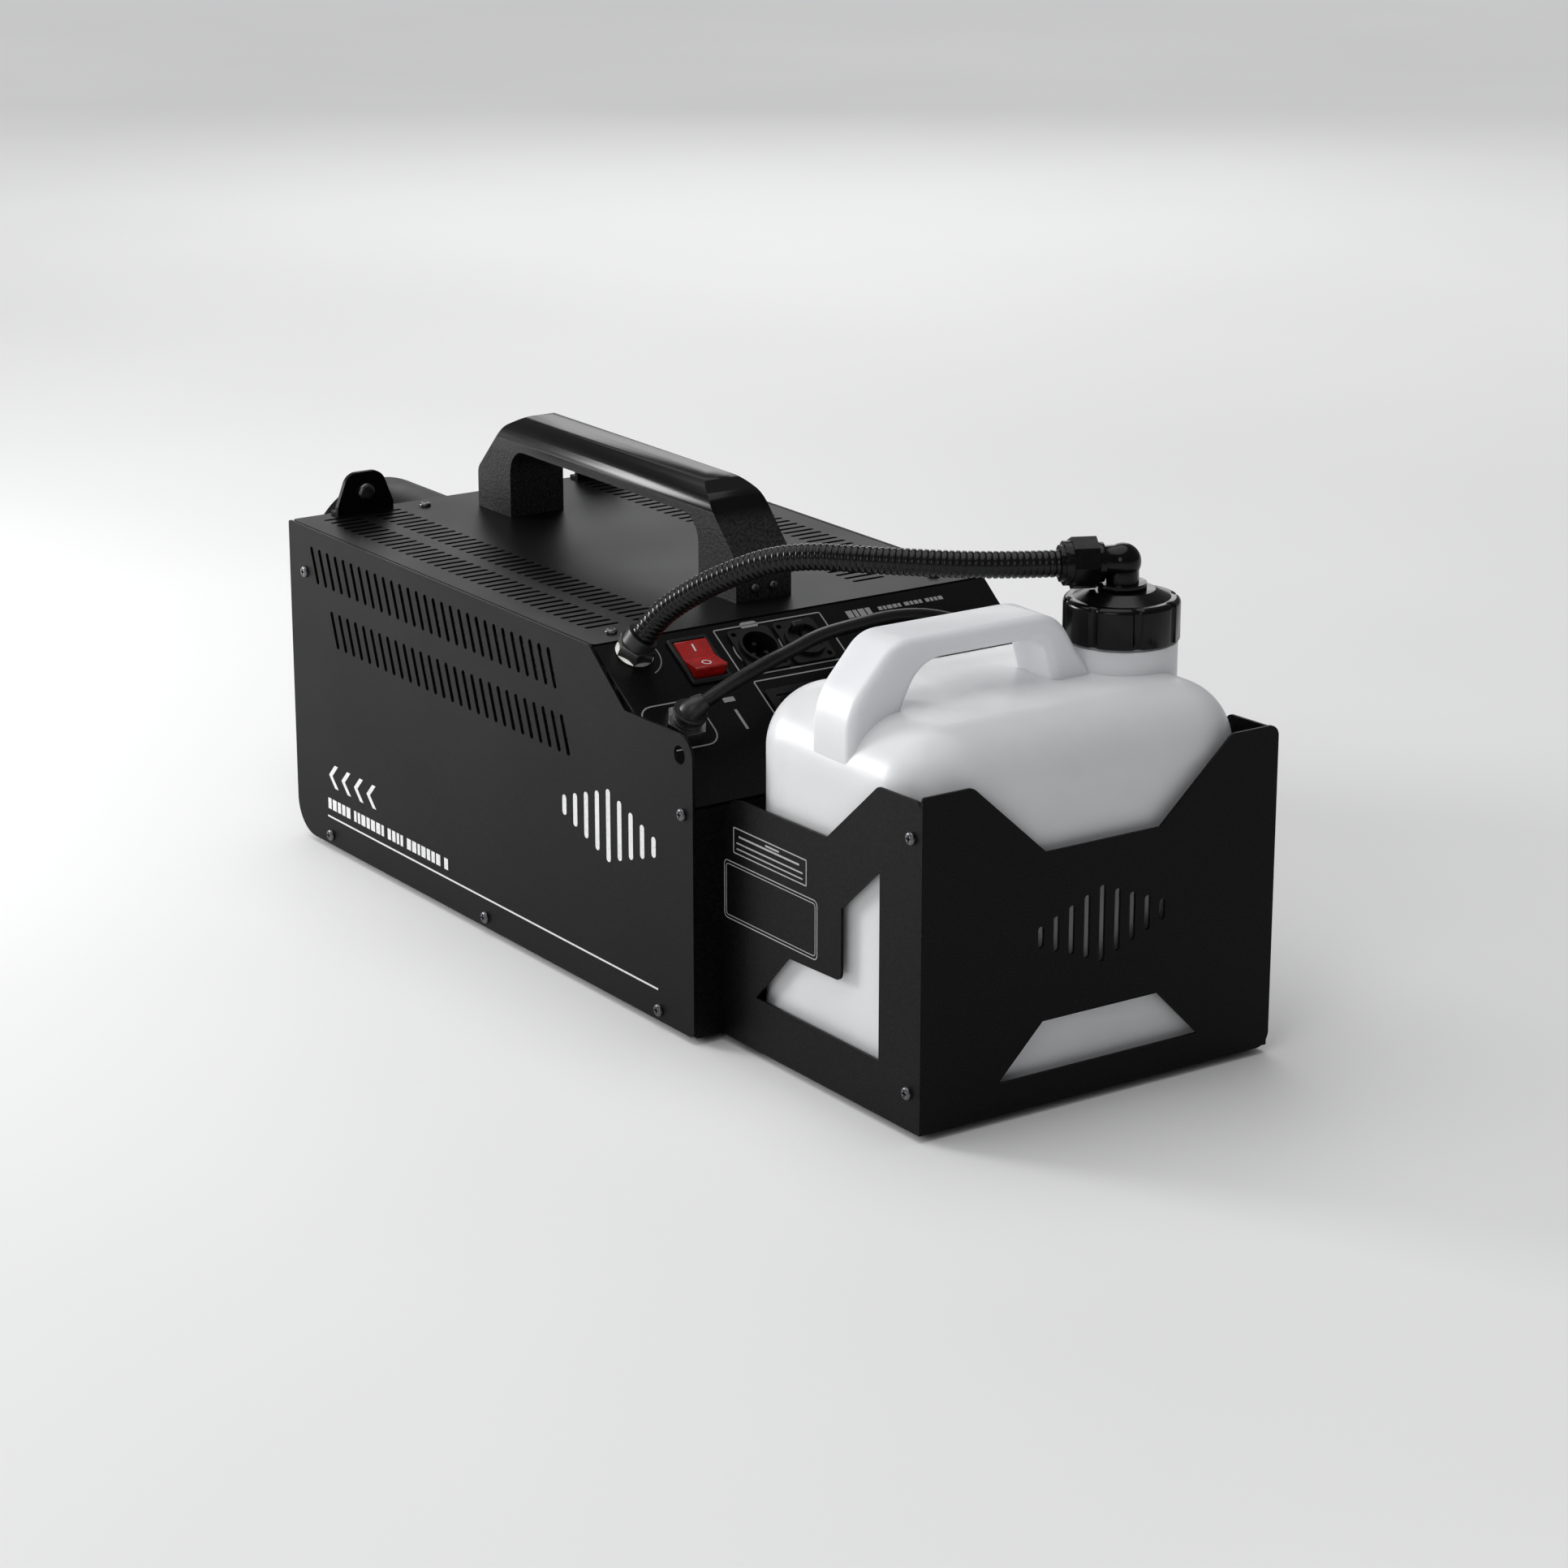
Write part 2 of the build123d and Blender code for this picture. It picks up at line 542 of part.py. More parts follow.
def heater(y):
    """A cast heater block with rounded edges, a cable end cap and a fluid inlet stub."""
    x0, x1 = HEATER_FRONT, HEATER_FRONT + HEATER_L
    cast = block(x0, x1, y - 21, y + 21, HOOD_Z - 24, HOOD_Z + 24)
    cast = fillet(cast.edges().filter_by(Axis.X), 10)
    for i in range(5):
        x = x0 + 24 + i * 34
        cast -= block(x, x + 10, y - 30, y + 30, HOOD_Z + 19, HOOD_Z + 30)
    cast += rod((x1, y, HOOD_Z + 10), (1, 0, 0), 6, 14)
    cast += rod((x1, y, HOOD_Z - 10), (1, 0, 0), 3.2, 10)
    return cast


def heat_shield():
    """A bent sheet that straddles both heaters, with vent holes."""
    x0, x1 = HEATER_FRONT - 8, HEATER_FRONT + HEATER_L + 6
    half, top = 58, HOOD_Z + 34
    shield = block(x0, x1, -half, half, FLOOR_TOP, top)
    shield -= block(x0 - 1, x1 + 1, -half + 1, half - 1, FLOOR_TOP - 1, top - 1)
    for i in range(8):
        x = x0 + 22 + i * 23
        for y in (-30, 0, 30):
            shield -= rod((x, y, top - 5), (0, 0, 1), 4, 10)
        shield -= block(x - 6, x + 6, -half - 1, half + 1, FLOOR_TOP + 14, FLOOR_TOP + 60)
    return shield


def heater_posts():
    """Four steel posts that carry the heaters off the tray."""
    z1 = HOOD_Z - 24
    return [
        rod((x, y, FLOOR_TOP), (0, 0, 1), 4, z1 - FLOOR_TOP)
        for x in (HEATER_FRONT + 25, HEATER_FRONT + HEATER_L - 25)
        for y in (-NOZZLE_Y - 3, NOZZLE_Y + 3)
    ]


def thermostats():
    """One snap-disc thermostat on each heater's flank."""
    discs = []
    for side in (-1, 1):
        y = side * (NOZZLE_Y + 21)
        can = rod((HEATER_FRONT + 95, y, HOOD_Z), (0, side, 0), 8, 7)
        for dx in (-4, 4):
            can += block(
                HEATER_FRONT + 95 + dx - 0.4, HEATER_FRONT + 95 + dx + 0.4,
                min(y + side * 7, y + side * 12), max(y + side * 7, y + side * 12), HOOD_Z - 3, HOOD_Z + 3,
            )
        discs.append(can)
    return discs


# ---------- pumps, tubes and electrics ----------
PUMP_X, PUMP_YS = 312.0, (-60.0, -100.0)
PUMP_Z = FLOOR_TOP + 40
PUMP_REACH = 44.0                          # from a pump's middle to its upturned outlet and inlet
STUB_TOP = PUMP_Z + 16


def pump(y):
    """A solenoid piston pump: a square coil, a brass barrel, and an upturned stub at each end."""
    coil = block(PUMP_X - 18, PUMP_X + 18, y - 15, y + 15, PUMP_Z - 14, PUMP_Z + 14)
    coil = fillet(coil.edges().filter_by(Axis.X), 3)
    pump_body = coil + rod((PUMP_X - PUMP_REACH, y, PUMP_Z), (1, 0, 0), 8, 2 * PUMP_REACH)
    for x in (PUMP_X - PUMP_REACH, PUMP_X + PUMP_REACH):
        pump_body += block(x - 8, x + 8, y - 8, y + 8, PUMP_Z - 8, PUMP_Z + 8)
        pump_body += rod((x, y, PUMP_Z), (0, 0, 1), 3.4, STUB_TOP - PUMP_Z)
    return pump_body


def pump_bracket():
    """A bent bracket that both pumps sit on."""
    y0, y1 = PUMP_YS[1] - 18, PUMP_YS[0] + 18
    shelf = block(PUMP_X - 18, PUMP_X + 18, y0, y1, PUMP_Z - 16, PUMP_Z - 14)
    legs = block(PUMP_X - 18, PUMP_X + 18, y0, y0 + 2, FLOOR_TOP, PUMP_Z - 14)
    legs += block(PUMP_X - 18, PUMP_X + 18, y1 - 2, y1, FLOOR_TOP, PUMP_Z - 14)
    return shelf + legs


def route_tube(points, radii, radius):
    """A tube along straight runs joined by tangent arcs."""
    path = FilletPolyline(*points, radius=radii)
    start = Plane(origin=path @ 0, z_dir=path % 0)
    return sweep(start * Circle(radius), path=path)


def feed_tubes():
    """Fluid tubes: from the hose gland to a tee and both pumps' inlets, and from each outlet to its heater."""
    inlet_x, outlet_x = PUMP_X + PUMP_REACH, PUMP_X - PUMP_REACH
    inner_y, outer_y = PUMP_YS
    tee_z = STUB_TOP + 12
    gland = Vector(HOSE_GLAND[0], HOSE_GLAND[1], panel_z(HOSE_GLAND[0]))
    foot, knee = gland - PANEL_NORMAL * 16, gland - PANEL_NORMAL * 44
    inlet = route_tube(
        [tuple(foot), tuple(knee), (inlet_x, outer_y, tee_z + 40), (inlet_x, outer_y, tee_z)], [12, 12], 3.4
    )
    inlet += rod((inlet_x, outer_y, STUB_TOP), (0, 0, 1), 3.4, 12)
    inlet += block(inlet_x - 6, inlet_x + 6, outer_y - 6, outer_y + 6, tee_z - 6, tee_z + 6)
    inlet += route_tube(
        [(inlet_x, outer_y, tee_z), (inlet_x, inner_y, tee_z), (inlet_x, inner_y, STUB_TOP)], [7], 3.4
    )
    outlets = []
    for y, heater_y in ((inner_y, NOZZLE_Y), (outer_y, -NOZZLE_Y)):
        port = (HEATER_FRONT + HEATER_L + 10, heater_y, HOOD_Z - 10)
        rise = (outlet_x, y, STUB_TOP + 24)
        outlets.append(route_tube([(outlet_x, y, STUB_TOP), rise, (outlet_x, heater_y, port[2]), port], [9, 9], 2.6))
    return [inlet] + outlets


def main_board():
    """The main board with relays, a heat sink, terminals and capacitors."""
    x0, x1, y0, y1 = 262.0, 412.0, 30.0, 116.0
    z = FLOOR_TOP + 10
    board = block(x0, x1, y0, y1, z, z + 1.6)
    parts = [board]
    parts.append(block(x0 + 8, x0 + 38, y0 + 8, y0 + 24, z + 1.6, z + 18))
    parts.append(block(x0 + 8, x0 + 38, y0 + 30, y0 + 46, z + 1.6, z + 18))
    parts.append(block(x0 + 50, x0 + 58, y0 + 8, y0 + 70, z + 1.6, z + 28))
    parts.append(block(x0 + 6, x0 + 70, y1 - 14, y1 - 4, z + 1.6, z + 13))
    for i in range(3):
        parts.append(rod((x0 + 84 + i * 16, y0 + 18, z + 1.6), (0, 0, 1), 5.5, 18))
    parts.append(block(x0 + 84, x0 + 108, y0 + 40, y0 + 64, z + 1.6, z + 5))
    return parts


def board_posts():
    """Four brass stand-offs under the main board."""
    return [
        hexagon((x, y, FLOOR_TOP), (0, 0, 1), 5, 10)
        for x in (268, 406)
        for y in (36, 110)
    ]


def transformer():
    """A small frame transformer for the control voltage."""
    x0, x1, y0, y1, z = 352.0, 402.0, -34.0, 8.0, FLOOR_TOP
    core = block(x0, x1, y0 + 10, y1 - 10, z, z + 42)
    coil = block(x0 + 8, x1 - 8, y0, y1, z + 8, z + 34)
    tabs = block(x0 - 8, x1 + 8, y0 + 12, y1 - 12, z, z + 2)
    return core + fillet(coil.edges().filter_by(Axis.Z), 4) + tabs


# ---------- jug, cap and hose end ----------
STRAP_X0, STRAP_X1 = 499.0, 533.0          # the moulded handle, front to back
STRAP_TOP = 231.0
STRAP_UNDER = 219.0
GAP_Y0, GAP_Y1 = -76.0, 16.0
NECK_R = 26.0
NECK_TOP = 217.5


def jug_body(inset):
    """The jug's body, shrunk by an inset on every side."""
    x0, x1 = JUG_FRONT + inset, JUG_BACK - inset
    half = JUG_HALF_W - inset
    body = block(x0, x1, -half, half, JUG_BASE + inset, JUG_TOP - inset)
    body = fillet(body.edges().filter_by(Axis.Z), 36 - inset)
    body = fillet(body.faces().sort_by(Axis.Z)[-1].edges(), 33 - inset)
    return fillet(body.faces().sort_by(Axis.Z)[0].edges(), 8 - inset)


def jug():
    """A five-litre can: hollow body, moulded strap handle over a hand gap, and a threaded neck."""
    face = outline(
        (-103.5, 120), (-103.5, 200, 38), (-76, STRAP_TOP, 20), (24, STRAP_TOP, 22), (50, JUG_TOP - 6),
        (24, JUG_TOP - 6), (GAP_Y1, STRAP_UNDER, 9), (-60, STRAP_UNDER, 22), (GAP_Y0, 186, 8), (GAP_Y0, 120),
    )
    handle = plate_yz(face, STRAP_X0, STRAP_X1)
    rims = handle.faces().sort_by(Axis.X)
    handle = fillet(rims[0].edges() + rims[-1].edges(), 4.5)
    neck = rod((CAP_X, CAP_Y, JUG_TOP - 30), (0, 0, 1), NECK_R + 3, 42)
    neck += rod((CAP_X, CAP_Y, JUG_TOP + 12), (0, 0, 1), NECK_R, NECK_TOP - JUG_TOP - 12)
    bore = rod((CAP_X, CAP_Y, JUG_TOP - 20), (0, 0, 1), NECK_R - JUG_WALL, NECK_TOP)
    solid = jug_body(0) + handle + neck
    return solid - jug_body(JUG_WALL) - bore


CAP_BASE = 209.5
CAP_H = 21.0
CAP_R = 30.0
LOBES = 8
TAB_ANGLE = 235.0
FLANGE_H = 2.0                             # the elbow's flange, which the cap clamps on the neck


def jug_cap():
    """The cap: a lobed ring, a domed top and a small tab, open in the middle for the elbow's post."""
    ring = Circle(CAP_R)
    for i in range(LOBES):
        ring -= Rot(0, 0, (i + 0.5) * 360 / LOBES) * Pos(CAP_R + 1.6, 0) * Circle(3.2)
    skirt = Pos(CAP_X, CAP_Y, CAP_BASE) * extrude(ring, amount=CAP_H)
    skirt = fillet(skirt.faces().sort_by(Axis.Z)[-1].edges(), 3.0)
    low_middle = (Align.CENTER, Align.CENTER, Align.MIN)
    cap = skirt + Pos(CAP_X, CAP_Y, CAP_BASE + CAP_H) * Cone(CAP_R - 5, 17, 4, align=low_middle)
    cap += Pos(CAP_X, CAP_Y, CAP_BASE) * Rot(0, 0, TAB_ANGLE) * block(CAP_R - 4, CAP_R + 4, -2, 2, 1, 3.5)
    inside = NECK_TOP + FLANGE_H + 0.4 - CAP_BASE
    cap -= rod((CAP_X, CAP_Y, CAP_BASE - 1), (0, 0, 1), NECK_R + 0.5, inside + 1)
    return cap - rod((CAP_X, CAP_Y, CAP_BASE), (0, 0, 1), 10.0, 60)


ELBOW_Z = 248.4
ARM = Vector(-0.435, -0.900, 0).normalized()      # from the post to the hose
ARM_START = Vector(CAP_X, CAP_Y, ELBOW_Z)
NUT_START = 14.0                           # from the post's axis to the union nut
NUT_L = 19.0


def elbow():
    """The elbow: a flange on the neck, a post through the cap, a bend and an arm inside the union nut."""
    low = NECK_TOP - 12
    post = rod((CAP_X, CAP_Y, low), (0, 0, 1), 8.4, ELBOW_Z - low)
    flange = rod((CAP_X, CAP_Y, NECK_TOP), (0, 0, 1), NECK_R - 2, FLANGE_H)
    collar = rod((CAP_X, CAP_Y, CAP_BASE + CAP_H + 4.4), (0, 0, 1), 12.5, 3)
    bend = Pos(*ARM_START) * Sphere(9.4)
    arm = rod(tuple(ARM_START), tuple(ARM), 8.4, NUT_START + NUT_L - 5.4)
    shoulder = rod(tuple(ARM_START + ARM * 10.4), tuple(ARM), 10.2, 3)
    bore = rod((CAP_X, CAP_Y, low - 1), (0, 0, 1), 3.4, ELBOW_Z - low + 1)
    bore += rod(tuple(ARM_START), tuple(ARM), 3.4, 60)
    return post + flange + collar + bend + arm + shoulder - bore


def hose_nut():
    """The union nut: eight flats, with a stepped collar towards the hose."""
    plane = Plane(origin=ARM_START + ARM * NUT_START, z_dir=ARM)
    nut = extrude(plane * RegularPolygon(12.6, 8, major_radius=False), amount=NUT_L - 6)
    nut += extrude(plane.offset(NUT_L - 6) * Circle(11.4), amount=4)
    nut += extrude(plane.offset(NUT_L - 2) * Circle(9.4), amount=2)
    return nut - extrude(plane.offset(-1) * Circle(8.8), amount=NUT_L - 4)


def pickup_tube():
    """The suction tube down from the elbow, with a weighted filter at its foot."""
    top = NECK_TOP - 12
    pipe = tube((CAP_X, CAP_Y, JUG_BASE + 24), (0, 0, 1), 4.6, 3.0, top - JUG_BASE - 24)
    foot = rod((CAP_X, CAP_Y, JUG_BASE + 6), (0, 0, 1), 8, 18)
    return pipe + foot


# ---------- hose and mains lead ----------
HOSE_END = tuple(ARM_START + ARM * (NUT_START + NUT_L))
HOSE_ROUTE = [
    tuple(HOSE_START), (354.3, -100.7, 206.9), (363.7, -95.5, 216.5), (386.5, -85, 232.8),
    (420, -64, 250.1), (457.9, -33.9, 250.5), tuple(ARM_START + ARM * (NUT_START + NUT_L + 36)), HOSE_END,
]
COIL_X, COIL_Y = 262.0, 190.0
COIL_MID_R = 44.0                          # to the middle of the turns
COIL_HALF_W = LEAD_D                       # two turns side by side
COIL_H = 2 * LEAD_D                        # in two layers
COIL_BASE = 1.2                            # the tie passes under it
LEAD_LIE = LEAD_D / 2                      # height of its middle where it lies on the floor
LEAD_ROUTE = [
    tuple(LEAD_MOUTH), tuple(LEAD_MOUTH + lead_lean(LEAD_LEAN) * 14.6), (401.9, -75, 184.7),
    (399.1, -60.9, 187.9), (390.1, -41.1, 188.5),
    (379, -15, 190.7), (368.2, 13.8, 188.9), (359, 46, 187.5), (358, 74, 184), (374, 98, 176), (402, 110, 163),
    (432, 117, 148), (446, 120, 120), (446, 121, 76), (447, 127, 38), (443, 134, 22),
    (432.5, 142.5, 10.5), (412, 152, LEAD_LIE), (380, 161, LEAD_LIE), (344, 157, LEAD_LIE), (308, COIL_Y - COIL_MID_R, LEAD_LIE),
    (COIL_X, COIL_Y - COIL_MID_R, LEAD_LIE),
]
TAIL_ROUTE = [
    (COIL_X, COIL_Y - COIL_MID_R, LEAD_LIE), (228, COIL_Y - COIL_MID_R, LEAD_LIE), (202, 153, 5), (180, 165, 14),
    (158, 176, 14),
]


def arc_radii(points):
    """Each corner's arc, as large as its two runs allow."""
    radii = []
    for before, here, after in zip(points, points[1:], points[2:]):
        run_in = Vector(here) - Vector(before)
        run_out = Vector(after) - Vector(here)
        half_turn = math.radians(run_in.get_angle(run_out)) / 2
        radii.append(0.45 * min(run_in.length, run_out.length) / math.tan(half_turn))
    return radii


def cord(name, points, diameter):
    """A cord's plain tube; prints its arcs, length and volume."""
    radii = arc_radii(points)
    path = FilletPolyline(*points, radius=radii)
    start = Plane(origin=path @ 0, z_dir=path % 0)
    solid = sweep(start * Circle(diameter / 2), path=path)
    expected = math.pi * diameter ** 2 / 4 * path.length
    print(name, "radii", [round(r) for r in radii], "length", round(path.length),
          "volume ratio", round(solid.volume / expected, 4))
    return solid


def cord_coil():
    """The lead's coiled length, as the ring of space that its turns fill."""
    ring = Circle(COIL_MID_R + COIL_HALF_W) - Circle(COIL_MID_R - COIL_HALF_W)
    return Pos(COIL_X, COIL_Y, COIL_BASE) * extrude(ring, amount=COIL_H)


def cord_tie():
    """A strap right round the coil's far side."""
    y, reach, top = COIL_Y + COIL_MID_R, COIL_HALF_W + 0.8, COIL_BASE + COIL_H + 0.2
    band = block(COIL_X - 5, COIL_X + 5, y - reach - 1.2, y + reach + 1.2, 0, top + 1.2)
    return band - block(COIL_X - 6, COIL_X + 6, y - reach, y + reach, 1.0, top)


def power_plug():
    """A moulded mains plug with two round pins, lying on its side behind the coil."""
    end = Vector(TAIL_ROUTE[-1])
    along = (end - Vector(TAIL_ROUTE[-2])).normalized()
    plane = Plane(origin=end, z_dir=along)
    relief = loft([plane * Circle(LEAD_D / 2 + 0.8), plane.offset(22) * Circle(7)])
    body = extrude(plane.offset(22) * Circle(13.5), amount=22)
    body = fillet(body.faces().sort_by(Axis(end, along))[0].edges(), 5)
    body += extrude(plane.offset(44) * Circle(14), amount=6)
    across = Vector(-along.Y, along.X, 0)
    for side in (-1, 1):
        pin = rod(tuple(end + along * 50 + across * (side * 9.5)), tuple(along), 2.4, 19)
        body += pin
    return relief + body


# ---------- write every node ----------
def main():
    os.makedirs("parts", exist_ok=True)
    left_side = side_panel()
    save("side_panel_left", left_side)
    save("side_panel_right", mirror(left_side, about=Plane.XZ))
    save("base_tray", base_tray())
    save("front_panel", front_panel())
    save("top_cover", top_cover())
    save("rear_wall", rear_wall())
    save("control_panel", control_panel())
    save("rubber_feet", *feet())

    left_lug, left_bolt = lug_bracket()
    save("lug_bracket_left", left_lug)
    save("lug_bracket_right", mirror(left_lug, about=Plane.XZ))
    save("lug_bolts", *both_sides(left_bolt))

    save("carry_handle", carry_handle())
    save("handle_screws", *handle_screws())
    screws = [pan_screw((x, -HALF, z), (0, -1, 0), 3.4) for x, z in SIDE_SCREWS]
    screws += [pan_screw((x, -BASKET, FOOT_H + dz), (0, -1, 0), 3.4) for x, dz in BASKET_SCREWS]
    case_screws = screws + [mirror(screw, about=Plane.XZ) for screw in screws]
    case_screws += [pan_screw((x, y, TOP), (0, 0, 1), 3.4) for x, y in TOP_SCREWS]
    save("case_screws", *case_screws)

    left_basket = basket_side()
    save("basket_side_left", left_basket)
    save("basket_side_right", mirror(left_basket, about=Plane.XZ))
    save("basket_end", basket_end())
    save("basket_floor", basket_floor())

    save("fog_hood", fog_hood())
    for name, y in (("left", -NOZZLE_Y), ("right", NOZZLE_Y)):
        save("nozzle_" + name, nozzle(y))
        save("heater_" + name, heater(y))
    save("heat_shield", heat_shield())
    save("heater_posts", *heater_posts())
    save("thermostats", *thermostats())
    save("pump_inner", pump(PUMP_YS[0]))
    save("pump_outer", pump(PUMP_YS[1]))
    save("pump_bracket", pump_bracket())
    save("feed_tubes", *feed_tubes())
    save("main_board", *main_board())
    save("board_posts", *board_posts())
    save("transformer", transformer())

    save("switch_housing", switch_housing())
    save("switch_rocker", switch_rocker())
    save("data_socket_in", data_socket(SOCKET_IN, True))
    save("data_socket_out", data_socket(SOCKET_OUT, False))
    save("socket_latch", socket_latch())
    bezel, window, board = display_module()
    save("display_bezel", bezel)
    save("display_window", window)
    save("display_board", board)
    for i, y in enumerate(BUTTON_YS):
        save("menu_button_%d" % (i + 1), menu_button(y))
    holder, cap = fuse_holder()
    save("fuse_holder", holder)
    save("fuse_cap", cap)
    save("hose_gland", hose_gland())
    save("lead_gland", lead_gland())

    save("jug", jug())
    save("jug_cap", jug_cap())
    save("elbow", elbow())
    save("hose_nut", hose_nut())
    save("pickup_tube", pickup_tube())
    save("fluid_hose", cord("hose", HOSE_ROUTE, HOSE_D))

    coil = cord_coil()
    save("mains_lead", cord("lead", LEAD_ROUTE, LEAD_D) - coil, cord("tail", TAIL_ROUTE, LEAD_D) - coil)
    save("lead_coil", coil)
    save("lead_tie", cord_tie())
    save("mains_plug", power_plug())


main()
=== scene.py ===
import math
import random

import bpy
import bmesh
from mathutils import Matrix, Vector


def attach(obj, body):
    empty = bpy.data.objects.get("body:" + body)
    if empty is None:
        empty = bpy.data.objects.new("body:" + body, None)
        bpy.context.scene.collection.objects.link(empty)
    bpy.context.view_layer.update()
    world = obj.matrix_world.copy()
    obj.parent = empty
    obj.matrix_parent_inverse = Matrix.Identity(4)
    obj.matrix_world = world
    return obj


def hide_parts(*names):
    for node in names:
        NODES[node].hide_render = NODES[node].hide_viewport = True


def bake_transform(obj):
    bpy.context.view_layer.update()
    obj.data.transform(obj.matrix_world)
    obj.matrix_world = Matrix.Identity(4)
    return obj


# Looks for the fog machine: finishes for the CAD nodes, the hose and mains lead, and the printed marks.
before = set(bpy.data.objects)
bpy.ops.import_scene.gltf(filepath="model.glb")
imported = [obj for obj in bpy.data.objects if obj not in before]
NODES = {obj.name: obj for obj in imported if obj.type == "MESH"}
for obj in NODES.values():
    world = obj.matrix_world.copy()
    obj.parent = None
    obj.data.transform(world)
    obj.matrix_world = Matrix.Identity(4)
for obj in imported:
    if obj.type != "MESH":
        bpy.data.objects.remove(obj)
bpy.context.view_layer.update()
random.seed(11)

# ---------- where things are, in millimetres from the housing's front face and the floor ----------
MM = 0.001
SHIFT_X = -239.0
FOOT_H = 4.0
HALF = 128.0
BASKET = 110.5
TOP = 192.0
FLAT_TOP = 332.0
PANEL_ANGLE = math.atan2(63.0, 98.0)
PANEL_NORMAL = Vector((math.sin(PANEL_ANGLE), 0, math.cos(PANEL_ANGLE)))
UP_SLOPE = Vector((-math.cos(PANEL_ANGLE), 0, math.sin(PANEL_ANGLE)))
LEAD_D = 7.6
COIL_X, COIL_Y = 262.0, 190.0
SOCKETS = ((351.5, -35.0), (351.5, -6.0))
BUTTON_X = 403.0
BUTTON_YS = (-44.0, -28.0, -12.0, 4.0)
ROCKER = (351.5, -72.5)
ROCKER_TILT = math.radians(10)


def at(x, y, z):
    """A point in the frame's metres."""
    return Vector(((x + SHIFT_X) * MM, y * MM, z * MM))


def panel_point(x, y, height=0.0):
    """A point on the control panel, or over it, in millimetres."""
    z = TOP - math.tan(PANEL_ANGLE) * (x - FLAT_TOP)
    return Vector((x, y, z)) + PANEL_NORMAL * height


# ---------- node helper ----------
class Finish:
    """A Principled material with procedural detail in the node's own coordinates."""

    def __init__(self, name):
        self.mat = bpy.data.materials.new(name)
        self.mat.use_nodes = True
        self.tree = self.mat.node_tree
        self.shader = self.tree.nodes["Principled BSDF"]
        self.coord = self.tree.nodes.new("ShaderNodeTexCoord").outputs["Object"]
        self.normal = None

    def node(self, kind, **settings):
        made = self.tree.nodes.new(kind)
        for key, value in settings.items():
            setattr(made, key, value)
        return made

    def link(self, output, socket):
        self.tree.links.new(output, socket)

    def set(self, **values):
        for key, value in values.items():
            self.shader.inputs[key.replace("_", " ")].default_value = value

    def noise(self, scale, detail=2.0, roughness=0.5, stretch=None):
        noise = self.node("ShaderNodeTexNoise")
        noise.inputs["Scale"].default_value = scale
        noise.inputs["Detail"].default_value = detail
        noise.inputs["Roughness"].default_value = roughness
        if stretch is None:
            self.link(self.coord, noise.inputs["Vector"])
        else:
            mapping = self.node("ShaderNodeMapping")
            mapping.inputs["Scale"].default_value = stretch
            self.link(self.coord, mapping.inputs["Vector"])
            self.link(mapping.outputs[0], noise.inputs["Vector"])
        return noise.outputs["Fac"]

    def cells(self, scale):
        cells = self.node("ShaderNodeTexVoronoi")
        cells.inputs["Scale"].default_value = scale
        self.link(self.coord, cells.inputs["Vector"])
        return cells.outputs["Distance"]

    def ramp(self, value, *stops):
        """A colour ramp; each stop is (place, grey) or (place, (r, g, b))."""
        ramp = self.node("ShaderNodeValToRGB")
        elements = ramp.color_ramp.elements
        while len(elements) < len(stops):
            elements.new(0.5)
        for element, (place, colour) in zip(elements, stops):
            rgb = (colour,) * 3 if isinstance(colour, float) else colour
            element.position = place
            element.color = (*rgb, 1.0)
        self.link(value, ramp.inputs[0])
        return ramp.outputs[0]

    def span(self, value, low, high, from_low=0.3, from_high=0.7):
        """The value brought from one range to another."""
        span = self.node("ShaderNodeMapRange")
        for socket, number in (("From Min", from_low), ("From Max", from_high), ("To Min", low), ("To Max", high)):
            span.inputs[socket].default_value = number
        self.link(value, span.inputs["Value"])
        return span.outputs["Result"]

    def along(self, axis, start, end):
        """From 0 at a distance along an axis to 1 at another, in millimetres of the frame."""
        dot = self.node("ShaderNodeVectorMath", operation="DOT_PRODUCT")
        dot.inputs[1].default_value = axis
        self.link(self.coord, dot.inputs[0])
        return self.span(dot.outputs["Value"], 0.0, 1.0, start * MM, end * MM)

    def mix(self, mask, first, second):
        """Two colours mixed by a mask."""
        mix = self.node("ShaderNodeMix", data_type="RGBA")
        self.link(mask, mix.inputs["Factor"])
        self.link(first, mix.inputs["A"])
        self.link(second, mix.inputs["B"])
        return mix.outputs["Result"]

    def times(self, first, second):
        """Two values multiplied."""
        product = self.node("ShaderNodeMath", operation="MULTIPLY")
        self.link(first, product.inputs[0])
        self.link(second, product.inputs[1])
        return product.outputs[0]

    def bump(self, height, strength, depth):
        """One more layer of relief, depth in metres."""
        bump = self.node("ShaderNodeBump")
        bump.inputs["Strength"].default_value = strength
        bump.inputs["Distance"].default_value = depth
        self.link(height, bump.inputs["Height"])
        if self.normal is not None:
            self.link(self.normal, bump.inputs["Normal"])
        self.normal = bump.outputs["Normal"]
        self.link(self.normal, self.shader.inputs["Normal"])

    def colour(self, output):
        self.link(output, self.shader.inputs["Base Color"])

    def rough(self, output):
        self.link(output, self.shader.inputs["Roughness"])


# ---------- finishes ----------
def powder_coat():
    """Fine-grained black powder coat: a speckled grain and a slow change of gloss."""
    f = Finish("black_powder_coat")
    grain = f.noise(1500, 3, 0.6)
    slow = f.noise(9, 2)
    tone = f.ramp(grain, (0.36, 0.0008), (0.52, 0.0028), (0.72, 0.015))
    f.colour(tone)
    f.set(Specular_IOR_Level=0.09)
    f.rough(f.span(slow, 0.36, 0.44))
    f.bump(grain, 0.30, 0.00020)
    f.bump(f.noise(320, 2), 0.10, 0.0002)
    return f.mat


